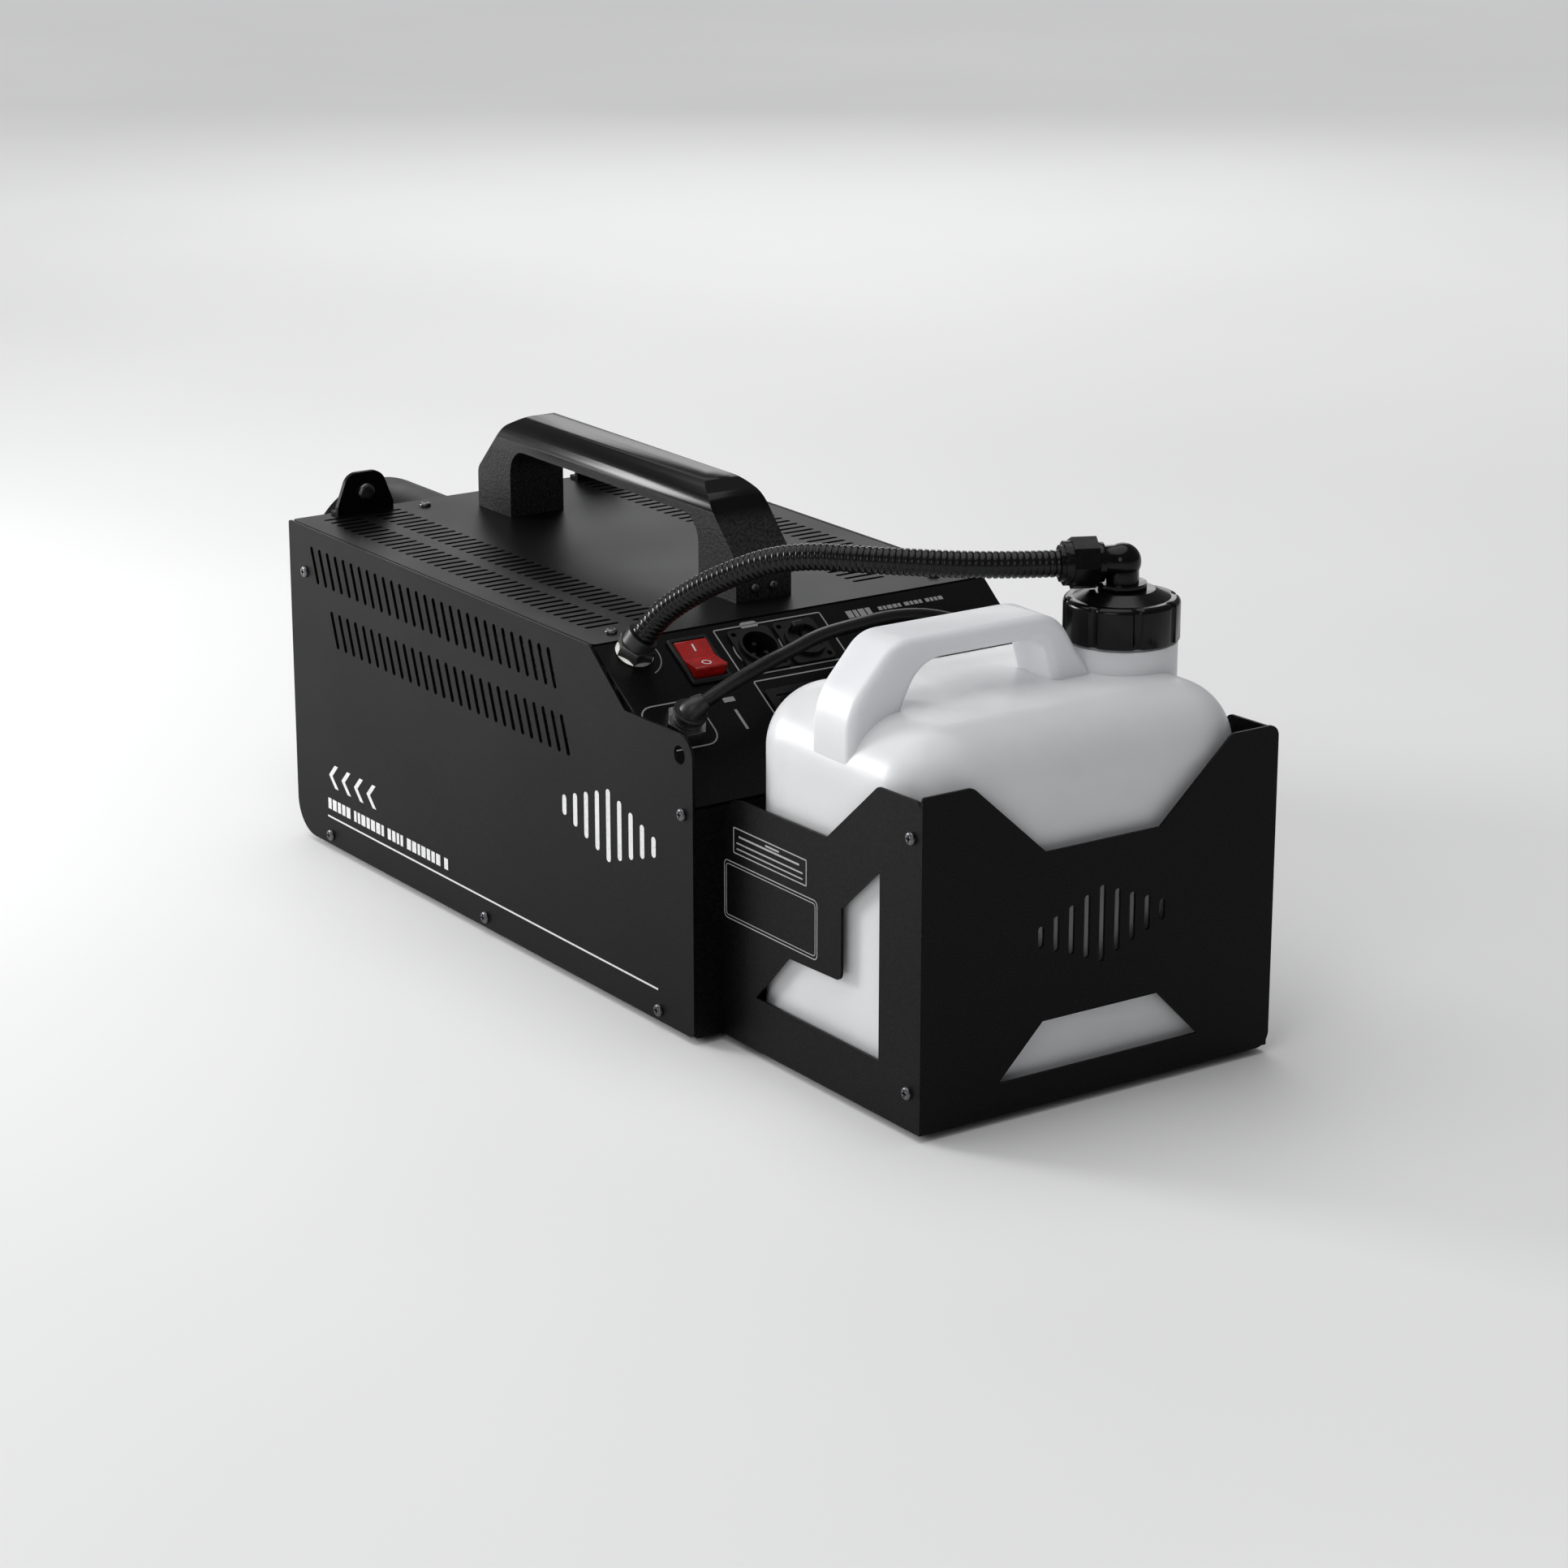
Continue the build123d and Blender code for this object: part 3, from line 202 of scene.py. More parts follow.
def plain_paint():
    """Smoother black paint, for the hood and the lugs."""
    f = Finish("hood_paint")
    grain = f.noise(900, 2)
    f.colour(f.ramp(grain, (0.35, 0.0010), (0.7, 0.005)))
    f.set(Specular_IOR_Level=0.08)
    f.rough(f.span(f.noise(25, 3), 0.34, 0.46))
    f.bump(grain, 0.16, 0.00018)
    return f.mat


def handle_plastic():
    """Moulded handle: stippled legs below a satin bar."""
    f = Finish("handle_plastic")
    legs = f.along((0, 0, 1), 238.0, 230.0)
    stipple = f.noise(620, 3, 0.65)
    f.colour(f.mix(legs, f.ramp(f.noise(60, 2), (0.3, 0.0015), (0.7, 0.003)),
                   f.ramp(stipple, (0.38, 0.002), (0.62, 0.026))))
    f.set(Specular_IOR_Level=0.20)
    f.rough(f.span(legs, 0.24, 0.52, 0.0, 1.0))
    f.bump(f.times(stipple, legs), 0.75, 0.0005)
    f.bump(f.noise(900, 2), 0.06, 0.0001)
    return f.mat


def moulded_black(name, roughness, grain_scale=700.0, tone=0.014):
    """Moulded black plastic or rubber with a fine grain."""
    f = Finish(name)
    grain = f.noise(grain_scale, 3, 0.6)
    f.colour(f.ramp(grain, (0.3, tone * 0.2), (0.75, tone * 0.7)))
    f.set(Specular_IOR_Level=0.22)
    f.rough(f.span(f.noise(70, 2), roughness - 0.06, roughness + 0.08))
    f.bump(grain, 0.14, 0.00015)
    return f.mat


def metal(name, rgb, roughness, stretch=(1, 1, 1), scale=600.0):
    """Bare or plated metal with fine machining marks and slow staining."""
    f = Finish(name)
    marks = f.noise(scale, 3, 0.6, stretch)
    dark = tuple(c * 0.72 for c in rgb)
    f.colour(f.ramp(f.noise(45, 3), (0.3, dark), (0.65, rgb)))
    f.set(Metallic=1.0)
    f.rough(f.span(marks, roughness - 0.08, roughness + 0.12))
    f.bump(marks, 0.12, 0.0001)
    return f.mat


def two_part(name, axis, start, end, metal_rgb, metal_roughness, plastic_tone=0.012):
    """Metal before a distance along an axis and black plastic after it, in one moulding."""
    f = Finish(name)
    plastic = f.along(axis, start, end)
    bright = f.node("ShaderNodeMath", operation="SUBTRACT")
    bright.inputs[0].default_value = 1.0
    f.link(plastic, bright.inputs[1])
    grain = f.noise(700, 3)
    f.colour(f.mix(plastic, f.ramp(f.noise(120, 3), (0.3, tuple(c * 0.7 for c in metal_rgb)), (0.7, metal_rgb)),
                   f.ramp(grain, (0.3, plastic_tone * 0.5), (0.7, plastic_tone * 1.6))))
    f.link(bright.outputs[0], f.shader.inputs["Metallic"])
    f.rough(f.span(plastic, metal_roughness, 0.42, 0.0, 1.0))
    f.bump(grain, 0.10, 0.0001)
    return f.mat


def jug_plastic():
    """Blow-moulded natural polyethylene: milky, a little uneven, with soft gloss."""
    f = Finish("jug_white")
    slow = f.noise(16, 3)
    f.colour(f.ramp(slow, (0.3, (0.79, 0.80, 0.815)), (0.7, (0.86, 0.865, 0.88))))
    f.set(Subsurface_Weight=0.35, Subsurface_Radius=(1.0, 1.0, 1.05), Subsurface_Scale=0.012)
    f.rough(f.span(f.noise(38, 2), 0.32, 0.44))
    f.bump(f.noise(24, 2), 0.12, 0.0016)
    f.bump(f.noise(420, 2), 0.05, 0.0002)
    return f.mat


def red_rocker():
    """Glossy red switch plastic with slight sink marks."""
    f = Finish("rocker_red")
    f.colour(f.ramp(f.noise(160, 2), (0.3, (0.34, 0.006, 0.005)), (0.7, (0.46, 0.010, 0.008))))
    f.rough(f.span(f.noise(90, 2), 0.22, 0.34))
    f.set(Subsurface_Weight=0.08, Subsurface_Scale=0.002)
    f.bump(f.noise(260, 2), 0.06, 0.0001)
    return f.mat


def smoked_window():
    """The display's dark window, with a faint speckle in its tone."""
    f = Finish("window_dark")
    f.colour(f.ramp(f.noise(300, 2), (0.35, (0.004, 0.005, 0.006)), (0.7, (0.010, 0.012, 0.014))))
    f.rough(f.span(f.noise(40, 2), 0.05, 0.12))
    f.set(Coat_Weight=0.6, Coat_Roughness=0.04)
    f.bump(f.noise(80, 2), 0.02, 0.0001)
    return f.mat


def grey_plastic():
    f = Finish("button_grey")
    grain = f.noise(800, 2)
    f.colour(f.ramp(grain, (0.3, (0.16, 0.16, 0.17)), (0.7, (0.22, 0.22, 0.23))))
    f.rough(f.span(f.noise(150, 2), 0.35, 0.48))
    f.bump(grain, 0.12, 0.0001)
    return f.mat


def board_green():
    """Circuit board: solder mask with copper tracks showing through."""
    f = Finish("board_green")
    tracks = f.cells(420)
    f.colour(f.ramp(tracks, (0.18, (0.010, 0.060, 0.022)), (0.42, (0.018, 0.105, 0.038))))
    f.rough(f.span(f.noise(200, 2), 0.25, 0.4))
    f.bump(tracks, 0.15, 0.0001)
    return f.mat


def clear_tube():
    """Milky fluid tube."""
    f = Finish("tube_clear")
    f.colour(f.ramp(f.noise(120, 2), (0.3, (0.62, 0.64, 0.64)), (0.7, (0.74, 0.76, 0.76))))
    f.set(Subsurface_Weight=0.4, Subsurface_Scale=0.003)
    f.rough(f.span(f.noise(200, 2), 0.18, 0.3))
    f.bump(f.noise(500, 2), 0.05, 0.0001)
    return f.mat


def print_ink(name, level):
    """Screen-printed ink, a little thin in places."""
    f = Finish(name)
    cover = f.noise(900, 3, 0.7)
    f.colour(f.ramp(cover, (0.28, level * 0.72), (0.5, level)))
    f.rough(f.span(cover, 0.50, 0.62))
    f.bump(cover, 0.15, 0.00005)
    return f.mat


def woven_strap():
    """Hook-and-loop strap: a fine weave with a soft nap."""
    f = Finish("strap_weave")
    weave = f.node("ShaderNodeTexWave", bands_direction="DIAGONAL")
    weave.inputs["Scale"].default_value = 900
    weave.inputs["Distortion"].default_value = 1.5
    f.link(f.coord, weave.inputs["Vector"])
    f.colour(f.ramp(weave.outputs["Fac"], (0.2, 0.006), (0.8, 0.028)))
    f.set(Sheen_Weight=0.4, Sheen_Roughness=0.5)
    f.rough(f.span(f.noise(400, 2), 0.75, 0.9))
    f.bump(weave.outputs["Fac"], 0.4, 0.0003)
    return f.mat


PANEL_AXIS = tuple(PANEL_NORMAL)


def over_panel(height):
    """How far along the panel's normal a height over the panel is, from the frame's origin, in millimetres."""
    return (panel_point(FLAT_TOP, 0, height) + Vector((SHIFT_X, 0, 0))).dot(PANEL_NORMAL)


TAIL_END, TAIL_BEFORE = Vector((158, 176, 14)), Vector((180, 165, 14))
PLUG_AXIS = (TAIL_END - TAIL_BEFORE).normalized()
PLUG_PINS = (TAIL_END + PLUG_AXIS * 50 + Vector((SHIFT_X, 0, 0))).dot(PLUG_AXIS)


def paint_nodes():
    """Gives every CAD node its finish."""
    coat, paint = powder_coat(), plain_paint()
    dark_screw = metal("screw_steel", (0.16, 0.16, 0.17), 0.30)
    nickel = (0.72, 0.71, 0.69)
    finishes = {
        coat: ("side_panel_left", "side_panel_right", "base_tray", "front_panel", "top_cover", "rear_wall",
               "basket_side_left", "basket_side_right", "basket_end", "basket_floor"),
        paint: ("fog_hood", "lug_bracket_left", "lug_bracket_right", "control_panel"),
        handle_plastic(): ("carry_handle",),
        dark_screw: ("case_screws", "handle_screws", "lug_bolts"),
        moulded_black("foot_rubber", 0.78, 500.0, 0.020): ("rubber_feet",),
        metal("nozzle_brass", (0.62, 0.44, 0.20), 0.28): ("nozzle_left", "nozzle_right"),
        metal("heater_alloy", (0.55, 0.55, 0.56), 0.48, scale=300.0): ("heater_left", "heater_right"),
        metal("bright_sheet", (0.62, 0.63, 0.64), 0.30, (1, 12, 1)): (
            "heat_shield", "heater_posts", "thermostats", "pump_bracket"),
        metal("pump_body", (0.20, 0.20, 0.21), 0.40): ("pump_inner", "pump_outer"),
        clear_tube(): ("feed_tubes", "pickup_tube"),
        board_green(): ("main_board", "display_board"),
        metal("post_brass", (0.66, 0.50, 0.24), 0.30): ("board_posts",),
        metal("core_iron", (0.14, 0.14, 0.15), 0.50, (1, 1, 30)): ("transformer",),
        moulded_black("switch_black", 0.34): ("switch_housing", "display_bezel"),
        red_rocker(): ("switch_rocker",),
        moulded_black("socket_black", 0.40): ("data_socket_in", "data_socket_out", "fuse_holder", "fuse_cap"),
        moulded_black("latch_plastic", 0.36, 900.0, 0.030): ("socket_latch",),
        smoked_window(): ("display_window",),
        grey_plastic(): ("menu_button_1", "menu_button_2", "menu_button_3", "menu_button_4"),
        two_part("hose_gland_nickel", PANEL_AXIS, over_panel(8.3), over_panel(8.5), nickel, 0.24): ("hose_gland",),
        two_part("lead_gland_nickel", PANEL_AXIS, over_panel(5.0), over_panel(5.2), nickel, 0.26): ("lead_gland",),
        jug_plastic(): ("jug",),
        moulded_black("cap_black", 0.20, 260.0, 0.006): ("jug_cap", "elbow", "hose_nut"),
        woven_strap(): ("lead_tie",),
        plug_finish(): ("mains_plug",),
    }
    for material, names in finishes.items():
        for name in names:
            mesh = NODES[name].data
            mesh.materials.clear()
            mesh.materials.append(material)


def plug_finish():
    """Moulded black plug with nickel pins."""
    f = Finish("plug_black")
    pins = f.along(tuple(PLUG_AXIS), PLUG_PINS - 0.1, PLUG_PINS + 0.1)
    grain = f.noise(600, 3)
    f.colour(f.mix(pins, f.ramp(grain, (0.3, 0.008), (0.7, 0.022)),
                   f.ramp(f.noise(90, 2), (0.3, (0.5, 0.49, 0.47)), (0.7, (0.7, 0.69, 0.67)))))
    f.link(pins, f.shader.inputs["Metallic"])
    f.rough(f.span(pins, 0.5, 0.25, 0.0, 1.0))
    f.bump(grain, 0.14, 0.00012)
    return f.mat


BEVELLED = {
    "side_panel_left": 0.5, "side_panel_right": 0.5, "basket_side_left": 0.5, "basket_side_right": 0.5,
    "basket_end": 0.5, "base_tray": 0.4, "carry_handle": 1.2, "lug_bracket_left": 0.8, "lug_bracket_right": 0.8,
    "switch_rocker": 0.7, "jug_cap": 0.5, "hose_nut": 0.8, "elbow": 0.5, "hose_gland": 0.4, "lead_gland": 0.4,
    "fuse_cap": 0.3, "mains_plug": 0.5, "switch_housing": 0.3, "display_bezel": 0.4,
}


def round_edges():
    """Softens the sharp edges of the nodes that show, in millimetres."""
    for name, width in BEVELLED.items():
        node = NODES[name]
        weld = node.modifiers.new("weld", "WELD")
        weld.merge_threshold = 1e-6
        bevel = node.modifiers.new("round", "BEVEL")
        bevel.width = width * MM
        bevel.segments = 2
        bevel.limit_method = "ANGLE"
        bevel.angle_limit = math.radians(40)
        bevel.harden_normals = True


# ---------- hose ----------
ARM = Vector((-0.435, -0.900, 0)).normalized()
HOSE_END = Vector((522, 73, 248.4)) + ARM * 33.0
HOSE_ROUTE = [
    Vector((348.22, -104.79, 197.45)), (354.3, -100.7, 206.9), (363.7, -95.5, 216.5), (386.5, -85, 232.8),
    (420, -64, 250.1), (457.9, -33.9, 250.5), HOSE_END + ARM * 36.0, HOSE_END,
]
RIB_PITCH = 3.2
RIB_STEPS = 6
RIB_SIDES = 24


def smooth_curve(name, points, bevel=0.0):
    """A quadratic NURBS through its end points, with the route's points as its control points."""
    curve = bpy.data.curves.new(name, "CURVE")
    curve.dimensions = "3D"
    curve.resolution_u = 16
    spline = curve.splines.new("NURBS")
    spline.points.add(len(points) - 1)
    for point, place in zip(spline.points, points):
        point.co = (*at(*place), 1.0)
    spline.order_u = 3
    spline.use_endpoint_u = True
    curve.bevel_depth = bevel
    curve.bevel_resolution = 6
    curve.use_fill_caps = bevel > 0
    made = bpy.data.objects.new(name, curve)
    bpy.context.scene.collection.objects.link(made)
    return made


def centreline(points, step):
    """Points a step apart along the route's smooth curve."""
    guide = smooth_curve("guide", points)
    mesh = bpy.data.meshes.new_from_object(guide)
    line = [v.co.copy() for v in mesh.vertices]
    bpy.data.objects.remove(guide)
    bpy.data.meshes.remove(mesh)
    even, left = [line[0]], step
    for a, b in zip(line, line[1:]):
        run = (b - a).length
        while left <= run:
            even.append(a.lerp(b, left / run))
            left += step
        left -= run
    if (even[-1] - line[-1]).length > step * 0.3:
        even.append(line[-1])
    else:
        even[-1] = line[-1]
    return even


def new_mesh(name, verts, faces, material, smooth=True):
    mesh = bpy.data.meshes.new(name)
    mesh.from_pydata([tuple(v) for v in verts], [], faces)
    mesh.validate()
    mesh.materials.append(material)
    for polygon in mesh.polygons:
        polygon.use_smooth = smooth
    made = bpy.data.objects.new(name, mesh)
    bpy.context.scene.collection.objects.link(made)
    return made


def swept_rings(path, radius_at, sides):
    """Rings of points along a path, without twist, and the faces between them."""
    verts, faces = [], []
    side = Vector((0, 0, 1))
    for i, point in enumerate(path):
        ahead, behind = path[min(i + 1, len(path) - 1)], path[max(i - 1, 0)]
        way = (ahead - behind).normalized()
        side = (side - way * side.dot(way)).normalized()
        across = way.cross(side)
        radius = radius_at(i)
        for k in range(sides):
            turn = 2 * math.pi * k / sides
            verts.append(point + (side * math.cos(turn) + across * math.sin(turn)) * radius)
    for i in range(len(path) - 1):
        for k in range(sides):
            a, b = i * sides + k, i * sides + (k + 1) % sides
            faces.append((a, b, b + sides, a + sides))
    faces.append(tuple(reversed(range(sides))))
    faces.append(tuple(range((len(path) - 1) * sides, len(path) * sides)))
    return verts, faces


def corrugated_hose():
    """The fluid hose: flat-topped ribs with narrow grooves between them."""
    path = centreline(HOSE_ROUTE, RIB_PITCH / RIB_STEPS * MM)
    profile = (6.25, 6.8, 7.0, 7.0, 7.0, 6.8)

    def radius_at(i):
        return profile[i % RIB_STEPS] * MM

    verts, faces = swept_rings(path, radius_at, RIB_SIDES)
    f = Finish("hose_black")
    grain = f.noise(500, 3)
    f.colour(f.ramp(grain, (0.3, 0.002), (0.75, 0.010)))
    f.set(Specular_IOR_Level=0.26)
    f.rough(f.span(f.noise(60, 2), 0.16, 0.26))
    f.bump(grain, 0.12, 0.00015)
    hose = new_mesh("hose", verts, faces, f.mat)
    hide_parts("fluid_hose")
    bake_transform(hose)
    return hose


# ---------- mains lead ----------
LEAD_MOUTH = Vector((395.617, -97.106, 172.246))
LEAD_LEAN = math.radians(50)
LEAD_OUT = PANEL_NORMAL * math.cos(LEAD_LEAN) + Vector((0, math.sin(LEAD_LEAN), 0))
LEAD_ROUTE = [
    LEAD_MOUTH, LEAD_MOUTH + LEAD_OUT * 14.6, (401.9, -75, 184.7), (399.1, -60.9, 187.9), (390.1, -41.1, 188.5),
    (379, -15, 190.7), (368.2, 13.8, 188.9), (359, 46, 187.5), (358, 74, 184), (374, 98, 176), (402, 110, 163),
    (432, 117, 148), (446, 120, 120), (446, 121, 76), (447, 127, 38), (443, 134, 22), (432.5, 142.5, 10.5),
    (412, 152, 3.8), (380, 161, 3.8), (344, 157, 3.8), (308, 145, 4.2), (285, 141, 4.8),
]
TAIL_ROUTE = [
    (246, 141.3, 12.8), (234, 142.6, 11.2), (222, 146.5, 7.5), (202, 153, 5), (180, 165, 14), (158, 176, 14),
]
COIL_TURNS = 4
COIL_POINTS = 16                           # control points in a turn


def coil_points():
    """The turns: two side by side on the floor and two on top, wound clockwise from the housing's side."""
    low, high = 5.1, 12.8
    lanes = [(47.8, low), (47.8, low), (40.1, low), (40.1, high), (47.8, high)]
    points = []
    for i in range(COIL_TURNS * COIL_POINTS + 1):
        turn = i / COIL_POINTS
        lane = min(int(turn), COIL_TURNS - 1)
        here, after = lanes[lane], lanes[lane + 1]
        shift = min(1.0, max(0.0, (turn - lane) * 3.0 - 2.0)) if turn < COIL_TURNS else 1.0
        shift = shift * shift * (3 - 2 * shift)
        radius = here[0] + (after[0] - here[0]) * shift
        height = here[1] + (after[1] - here[1]) * shift
        angle = -math.pi / 2 - turn * 2 * math.pi
        points.append((COIL_X + radius * math.cos(angle), COIL_Y + radius * math.sin(angle), height))
    return points


def mains_lead():
    """The lead from its gland, down to the floor, round the coil and on to the plug."""
    route = LEAD_ROUTE + coil_points() + TAIL_ROUTE
    lead = smooth_curve("lead", route, LEAD_D / 2 * MM)
    f = Finish("lead_rubber")
    grain = f.noise(700, 3)
    f.colour(f.ramp(grain, (0.3, 0.002), (0.75, 0.010)))
    f.set(Specular_IOR_Level=0.30)
    f.rough(f.span(f.noise(50, 2), 0.34, 0.46))
    f.bump(grain, 0.12, 0.0001)
    lead.data.materials.append(f.mat)
    line = centreline(route, 2 * MM)
    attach(lead, "housing")
    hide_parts("mains_lead", "lead_coil")
    return lead


# ---------- printed marks ----------
INK_H = 0.12                               # thickness of the ink


def side_face(y, sign):
    """Drawing plane on an upright side: origin, the two directions, and which way it faces."""
    return at(0, y, 0), Vector((1, 0, 0)), Vector((0, 0, 1)), Vector((0, sign, 0))


def panel_face():
    """Drawing plane on the control panel: u along Y, v up the slope, from the top cover's edge."""
    start = panel_point(FLAT_TOP, 0)
    return at(*start), Vector((0, 1, 0)), UP_SLOPE, PANEL_NORMAL


def on_panel(x, y):
    """Panel coordinates of a point given by its x and y."""
    return y, -(x - FLAT_TOP) / math.cos(PANEL_ANGLE)


def rectangle(u0, u1, v0, v1, corner=0.0, steps=5):
    """A loop round a rectangle with rounded corners."""
    loop = []
    for cu, cv, start in ((u1, v1, 0), (u0, v1, 90), (u0, v0, 180), (u1, v0, 270)):
        inner_u = cu - corner if cu == max(u0, u1) else cu + corner
        inner_v = cv - corner if cv == max(v0, v1) else cv + corner
        for i in range(steps + 1):
            turn = math.radians(start + 90 * i / steps)
            loop.append((inner_u + corner * math.cos(turn), inner_v + corner * math.sin(turn)))
    return loop


def outline_strip(loop, inside):
    """Quads between two loops of the same count."""
    n = len(loop)
    return [(loop[i], loop[(i + 1) % n], inside[(i + 1) % n], inside[i]) for i in range(n)]


def frame_shape(u0, u1, v0, v1, line, corner=2.0):
    """A rounded frame drawn with a line of some width."""
    outer = rectangle(u0, u1, v0, v1, corner)
    inner = rectangle(u0 + line, u1 - line, v0 + line, v1 - line, max(corner - line, 0.05))
    return outline_strip(outer, inner)


def arc_shape(cu, cv, radius, line, start, end, steps=28):
    """Part of a ring, from one angle to another."""
    shapes = []
    for i in range(steps):
        a = math.radians(start + (end - start) * i / steps)
        b = math.radians(start + (end - start) * (i + 1) / steps)
        shapes.append(tuple(
            (cu + r * math.cos(t), cv + r * math.sin(t)) for t, r in ((a, radius), (b, radius),
                                                                     (b, radius - line), (a, radius - line))
        ))
    return shapes


def bar(u0, u1, v0, v1, corner=0.0):
    """A filled bar, with round ends if asked."""
    return [tuple(rectangle(u0, u1, v0, v1, corner))] if corner else [((u0, v0), (u1, v0), (u1, v1), (u0, v1))]


def printed(name, face, shapes, ink, body="housing"):
    """Prints shapes on a face as a thin layer of ink."""
    origin, u_way, v_way, out = face
    mesh = bpy.data.meshes.new(name)
    build = bmesh.new()
    for shape in shapes:
        low = [build.verts.new(origin + (u_way * u + v_way * v + out * 0.02) * MM) for u, v in shape]
        high = [build.verts.new(v.co + out * INK_H * MM) for v in low]
        build.faces.new(high)
        build.faces.new(list(reversed(low)))
        for i in range(len(low)):
            j = (i + 1) % len(low)
            build.faces.new((low[i], low[j], high[j], high[i]))
    bmesh.ops.recalc_face_normals(build, faces=build.faces)
    build.to_mesh(mesh)
    build.free()
    mesh.materials.append(ink)
    made = bpy.data.objects.new(name, mesh)
    bpy.context.scene.collection.objects.link(made)
    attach(made, body)
    return made


def word_bars(u0, u1, v0, v1, narrow, gap):
    """A row of plain bars of uneven length where a line of small print would be."""
    shapes, u, left = [], u0, 5
    while u < u1 - narrow:
        width = min(narrow * random.choice((1.0, 1.3, 1.6)), u1 - u)
        shapes += bar(u, u + width, v0, v1)
        left -= 1
        u += width + (gap if left else 3 * gap)
        left = left or random.choice((4, 5, 7))
    return shapes


def side_print():
    """Marks low on a side panel: three chevrons, a row of bars, a rule, and a fan of upright bars."""
    shapes = []
    for i in range(4):
        u = 40 + i * 15
        shapes.append(((u, 47), (u + 7, 54), (u + 11, 54), (u + 4, 47)))
        shapes.append(((u, 47), (u + 4, 47), (u + 11, 40), (u + 7, 40)))
    shapes += word_bars(38, 178, 26, 32.5, 2.9, 1.5)
    shapes += bar(37, 396, 20.6, 21.6)
    for i in range(-4, 5):
        reach = 20 - 3.6 * abs(i)
        shapes += bar(349 + i * 11 - 2.0, 349 + i * 11 + 2.0, 98 - reach, 98 + reach, 1.9)
    return shapes


def basket_print():
    """Two frames on the basket's side, the upper one with plain bars in it."""
    shapes = frame_shape(441, 506.5, 105, 119, 0.6, 0.8)
    shapes += bar(446, 500, 114.2, 115.2) + bar(444, 503, 110.6, 111.4) + bar(444, 503, 107.6, 108.3)
    shapes += bar(470, 482, 116.0, 117.0)
    shapes += frame_shape(432.5, 516, 68.5, 100, 0.5, 3.0) + frame_shape(434.3, 514.2, 70.3, 98.2, 0.4, 2.0)
    return shapes


def panel_print():
    """Frames and rings round the controls, and plain bars for their captions."""
    shapes = []
    u0, v1 = on_panel(336.0, -54)
    u1, v0 = on_panel(362.0, 15)
    shapes += frame_shape(u0, u1, v0 - 4, v1, 0.8, 1.5)
    for place in SOCKETS:
        u, v = on_panel(*place)
        shapes += arc_shape(u, v, 14.2, 0.8, -50, 230)
    u, v = on_panel(336.5, -31)
    shapes += bar(u - 5.5, u + 5.5, v - 2.4, v + 2.4, 2.3)
    u0, v1 = on_panel(368.5, -50)
    u1, v0 = on_panel(414.0, 15)
    shapes += frame_shape(u0, u1, v0, v1, 0.8, 1.5)
    for y in BUTTON_YS:
        u, v = on_panel(BUTTON_X, y)
        shapes += bar(u - 3.5, u + 3.5, v - 8.4, v - 7.3)
    u, v = on_panel(343.0, -106)
    shapes += arc_shape(u, v, 14.0, 0.6, -70, 50)
    u, v = on_panel(386.0, -106)
    shapes += frame_shape(u - 19, u + 18, v - 15, v + 17, 0.8, 9.0)
    u, v = on_panel(376.0, -70)
    shapes += bar(u - 3.5, u + 3.5, v - 1.6, v + 1.6)
    u, v = on_panel(388.0, -70)
    shapes += bar(u - 0.8, u + 0.8, v - 7, v + 7)
    u, v = on_panel(386.0, 60)
    shapes += arc_shape(u, v, 12.0, 0.6, 0, 360)
    u, v = on_panel(340.8, 30)
    shapes += word_bars(u, u + 17, v - 2.6, v + 2.6, 2.4, 0.9)
    shapes += word_bars(u + 21, u + 64, v - 0.8, v + 1.8, 1.9, 0.8)
    return shapes


ROCKER_FALL, ROCKER_REACH = 3.2, 12.2       # each half of the rocker falls this far over this length


def rocker_marks(ink):
    """The I and O marks on the two halves of the rocker."""
    pivot = panel_point(*ROCKER, -1.0)
    up = UP_SLOPE * math.cos(ROCKER_TILT) - PANEL_NORMAL * math.sin(ROCKER_TILT)
    out = PANEL_NORMAL * math.cos(ROCKER_TILT) + UP_SLOPE * math.sin(ROCKER_TILT)
    from_middle = 6.6
    on_face = 3.0 + ROCKER_FALL * from_middle / ROCKER_REACH
    for name, half, shapes in (
        ("mark_on", 1, bar(-0.5, 0.5, -2.4, 2.4)),
        ("mark_off", -1, arc_shape(0, 0, 2.7, 0.7, 0, 360, 24)),
    ):
        lean = ROCKER_TILT - math.atan2(ROCKER_FALL, ROCKER_REACH) * half
        place = pivot + up * (from_middle * half) + out * on_face
        v_way = UP_SLOPE * math.cos(lean) - PANEL_NORMAL * math.sin(lean)
        normal = Vector((0, 1, 0)).cross(v_way)
        printed(name, (at(*place), Vector((0, 1, 0)), v_way, normal), shapes, ink, "rocker")


def print_all():
    white = print_ink("ink_white", 0.80)
    grey = print_ink("ink_grey", 0.42)
    faint = print_ink("ink_faint", 0.30)
    for name, y, sign in (("print_side_left", -HALF, -1), ("print_side_right", HALF, 1)):
        printed(name, side_face(y, sign), side_print(), white)
    for name, y, sign in (("print_basket_left", -BASKET, -1), ("print_basket_right", BASKET, 1)):
        printed(name, side_face(y, sign), basket_print(), grey)
    printed("print_panel", panel_face(), panel_print(), faint)
    rocker_marks(white)


# ---------- camera, floor and light ----------
CAMERA_AT = (1.8991, -1.2363, 0.7777)
CAMERA_YAW = math.radians(34.281)
CAMERA_PITCH = math.radians(17.349)
CAMERA_LENS = 96.869


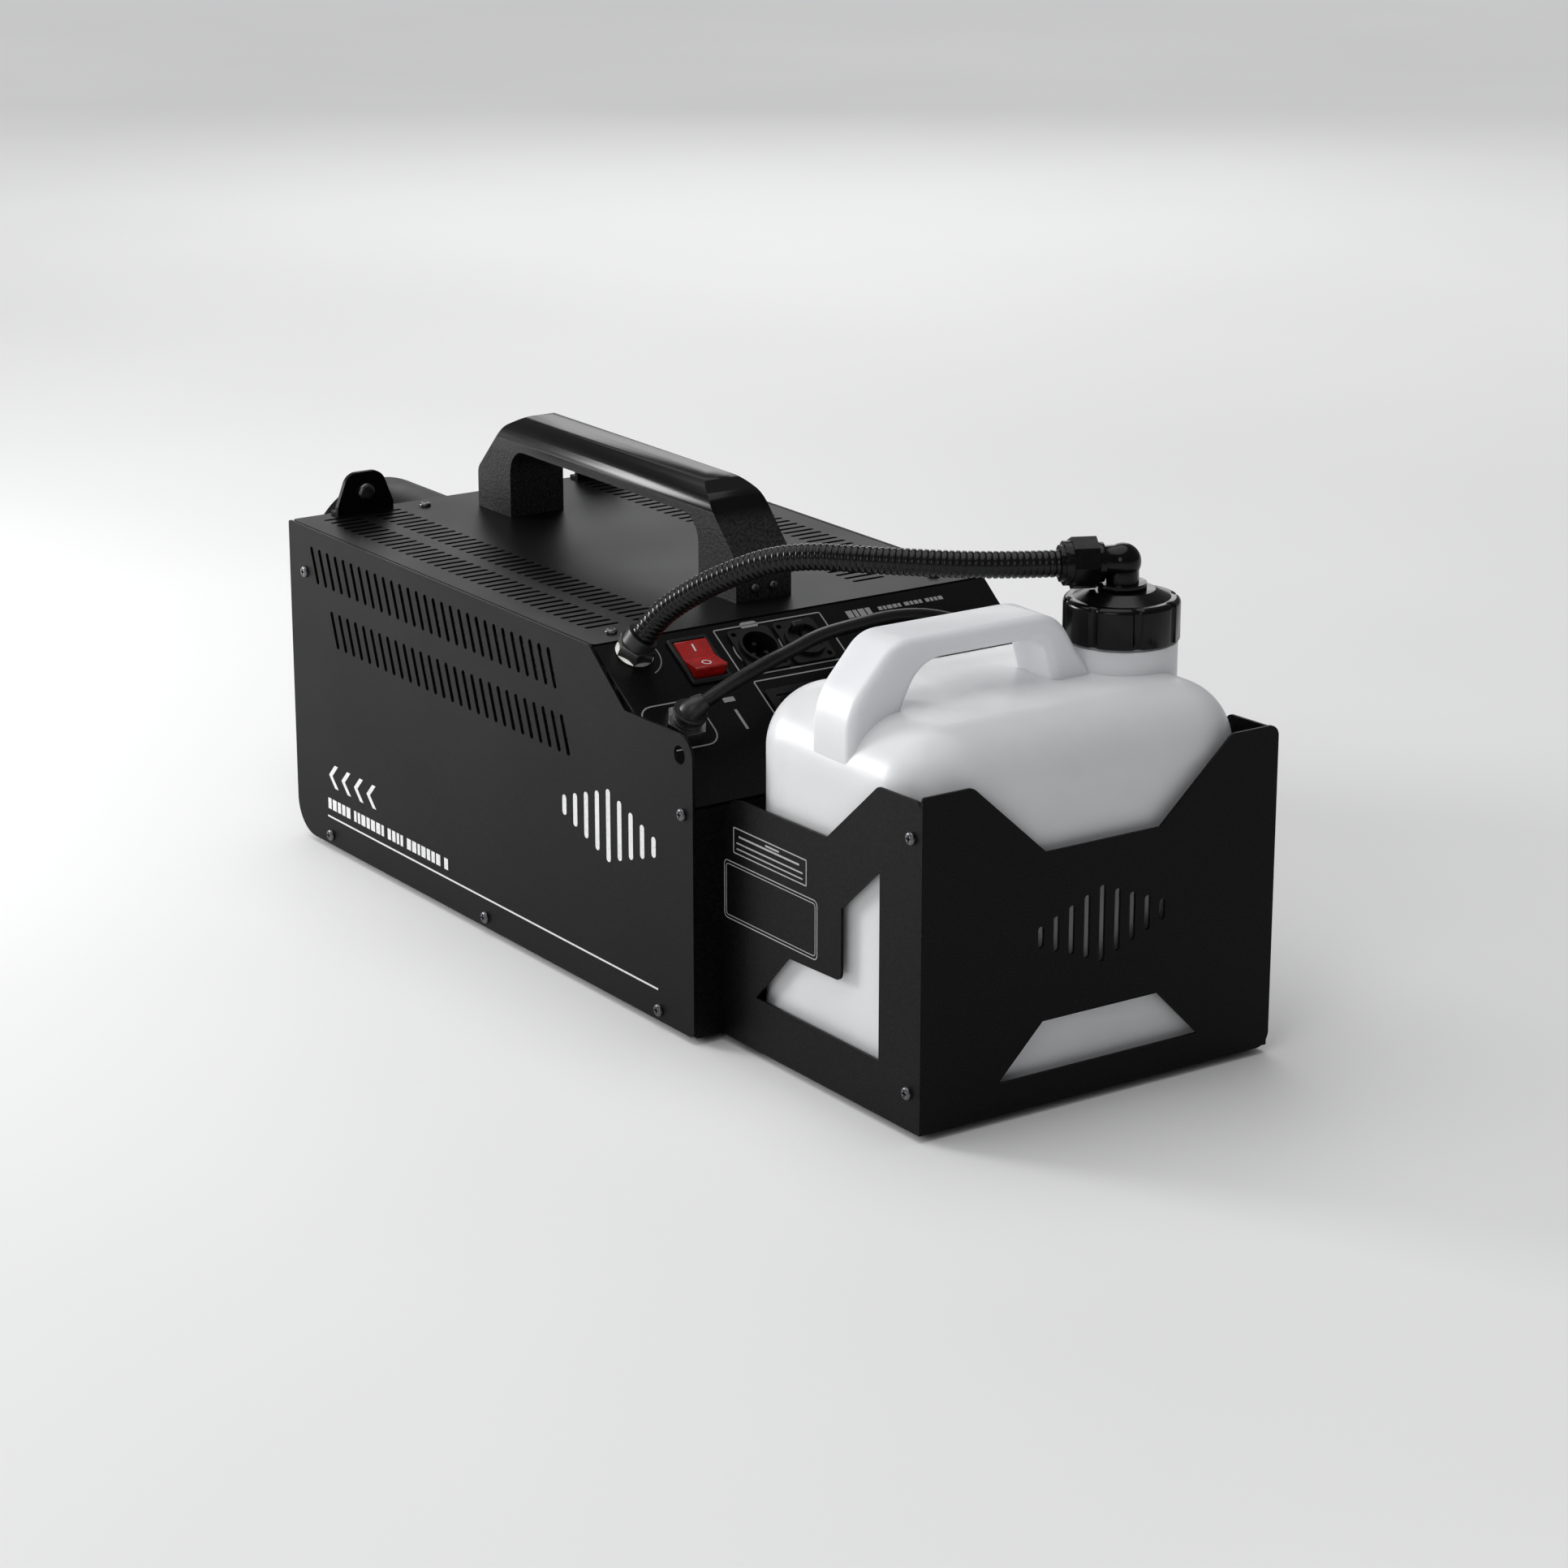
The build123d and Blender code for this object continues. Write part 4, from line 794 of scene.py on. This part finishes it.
def camera():
    data = bpy.data.cameras.new("camera")
    data.lens = CAMERA_LENS
    data.sensor_width = 36.0
    data.clip_end = 60.0
    made = bpy.data.objects.new("camera", data)
    bpy.context.scene.collection.objects.link(made)
    made.location = CAMERA_AT
    flat = math.cos(CAMERA_PITCH)
    looks = Vector((-math.cos(CAMERA_YAW) * flat, math.sin(CAMERA_YAW) * flat, -math.sin(CAMERA_PITCH)))
    made.rotation_euler = looks.to_track_quat("-Z", "Y").to_euler()
    bpy.context.scene.camera = made


def floor():
    """A plain pale floor."""
    f = Finish("floor_pale")
    f.colour(f.ramp(f.noise(1.5, 2), (0.3, 0.86), (0.7, 0.90)))
    f.rough(f.span(f.noise(6, 2), 0.85, 0.95))
    size = 60.0
    verts = [(-size, -size, 0), (size, -size, 0), (size, size, 0), (-size, size, 0)]
    made = new_mesh("floor", verts, [(0, 1, 2, 3)], f.mat, smooth=False)


def soft_light(name, place, target, size, power):
    data = bpy.data.lights.new(name, "AREA")
    data.shape = "RECTANGLE"
    data.size, data.size_y = size
    data.energy = power
    made = bpy.data.objects.new(name, data)
    bpy.context.scene.collection.objects.link(made)
    made.location = place
    made.rotation_euler = (Vector(target) - Vector(place)).to_track_quat("-Z", "Y").to_euler()


def lighting():
    world = bpy.data.worlds.new("world")
    world.use_nodes = True
    world.node_tree.nodes["Background"].inputs["Color"].default_value = (0.95, 0.96, 1.0, 1.0)
    world.node_tree.nodes["Background"].inputs["Strength"].default_value = 0.16
    bpy.context.scene.world = world
    sun = bpy.data.lights.new("sky", "SUN")
    sun.energy = 1.65
    sun.angle = math.radians(70)
    above = bpy.data.objects.new("sky", sun)
    bpy.context.scene.collection.objects.link(above)
    above.rotation_euler = Vector((0.25, 0.15, -1.0)).to_track_quat("-Z", "Y").to_euler()
    soft_light("sheen", (-1.15, -0.95, 0.50), (0.05, -0.1, 0.16), (0.5, 0.4), 15)
    soft_light("back", (-2.2, 1.55, 1.15), (0.0, 0, 0.2), (1.6, 0.9), 9)
    soft_light("front", (1.4, -1.9, 1.2), (0.2, 0, 0.15), (0.9, 0.9), 7)
    bpy.context.scene.view_settings.view_transform = "Standard"


paint_nodes()
round_edges()
corrugated_hose()
mains_lead()
print_all()
camera()
floor()
lighting()
